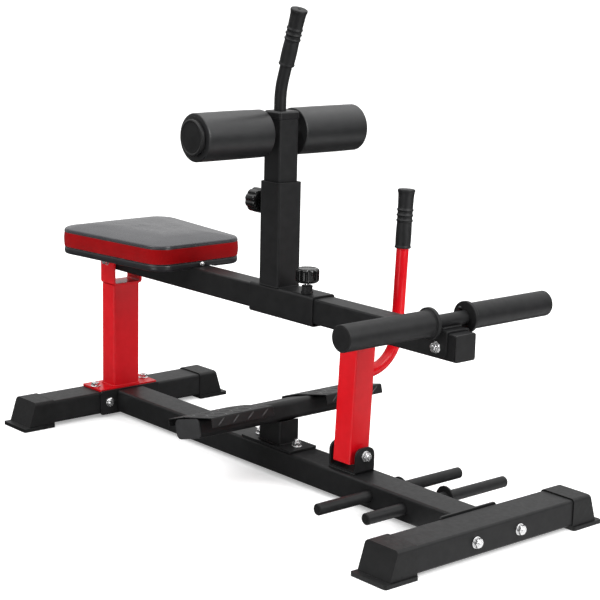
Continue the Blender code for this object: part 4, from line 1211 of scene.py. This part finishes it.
def make_backdrop_light():
    """White for the backdrop, and a shaded studio for everything that the machine reflects."""
    world = bpy.data.worlds.new("studio")
    bpy.context.scene.world = world
    world.use_nodes = True
    tree = world.node_tree
    tree.nodes.clear()
    output = tree.nodes.new("ShaderNodeOutputWorld")
    direct = node(tree, "ShaderNodeLightPath").outputs["Is Camera Ray"]
    place = node(tree, "ShaderNodeTexCoord").outputs["Generated"]
    seen = node(tree, "ShaderNodeBackground", color=(1, 1, 1, 1), strength=1.05)
    lighting = node(tree, "ShaderNodeBackground", color=(1, 1, 1, 1), strength=sky_shade(tree, place))
    mix = node(tree, "ShaderNodeMixShader", fac=direct)
    tree.links.new(lighting.outputs[0], mix.inputs[1])
    tree.links.new(seen.outputs[0], mix.inputs[2])
    tree.links.new(mix.outputs[0], output.inputs[0])


def area_light(name, place, target, size, energy):
    data = bpy.data.lights.new(name, "AREA")
    data.shape = "RECTANGLE"
    data.size, data.size_y = size
    data.energy = energy
    light = new_object(name, data)
    light.location = place
    light.rotation_mode = "QUATERNION"
    light.rotation_quaternion = (Vector(target) - Vector(place)).to_track_quat("-Z", "Y")


def make_camera():
    data = bpy.data.cameras.new("camera")
    data.lens = CAMERA_LENS
    data.sensor_width = 36
    data.shift_x, data.shift_y = CAMERA_SHIFT
    data.clip_start = 0.05
    data.clip_end = 100
    camera = new_object("camera", data)
    azimuth, elevation = CAMERA_AZIMUTH, CAMERA_ELEVATION
    flat = Vector((math.sin(azimuth), -math.cos(azimuth), 0))
    back = flat * math.cos(elevation) + Vector((0, 0, math.sin(elevation)))
    right = Vector((math.cos(azimuth), math.sin(azimuth), 0))
    up = back.cross(right)
    turn = Matrix((right, up, back)).transposed() @ Matrix.Rotation(CAMERA_ROLL, 3, "Z")
    camera.matrix_world = Matrix.LocRotScale(Vector(CAMERA_PLACE), turn.to_quaternion(), None)
    bpy.context.scene.camera = camera


def make_studio():
    make_floor()
    make_card()
    make_backdrop_light()
    area_light("key", (-0.9, -2.9, 2.3), (0, 0, 0.3), (2.4, 1.6), 36)
    area_light("top", (0.1, 0.2, 3.2), (0, 0, 0.3), (3.4, 3.4), 26)
    area_light("side", (3.1, 0.5, 2.0), (0.1, 0, 0.4), (1.4, 1.6), 72)
    make_camera()
    bpy.context.scene.view_settings.view_transform = "Standard"


# ---- assembly
def build():
    keep_frame_nodes()
    crossbar_bolts()
    standing_bolts()
    pivot_bolts()
    seat_screw()
    make_seat()
    make_board()
    for side, way in (("left", 1), ("right", -1)):
        make_roller(side, way)
        make_sleeve(side, way)
        make_treads(side, way)
    make_horn()
    for name in ROD_COLLAR_Y:
        make_rod(name)
    make_pad_handle()
    make_support_handle()
    make_pins()
    make_welds()
    make_studio()


build()
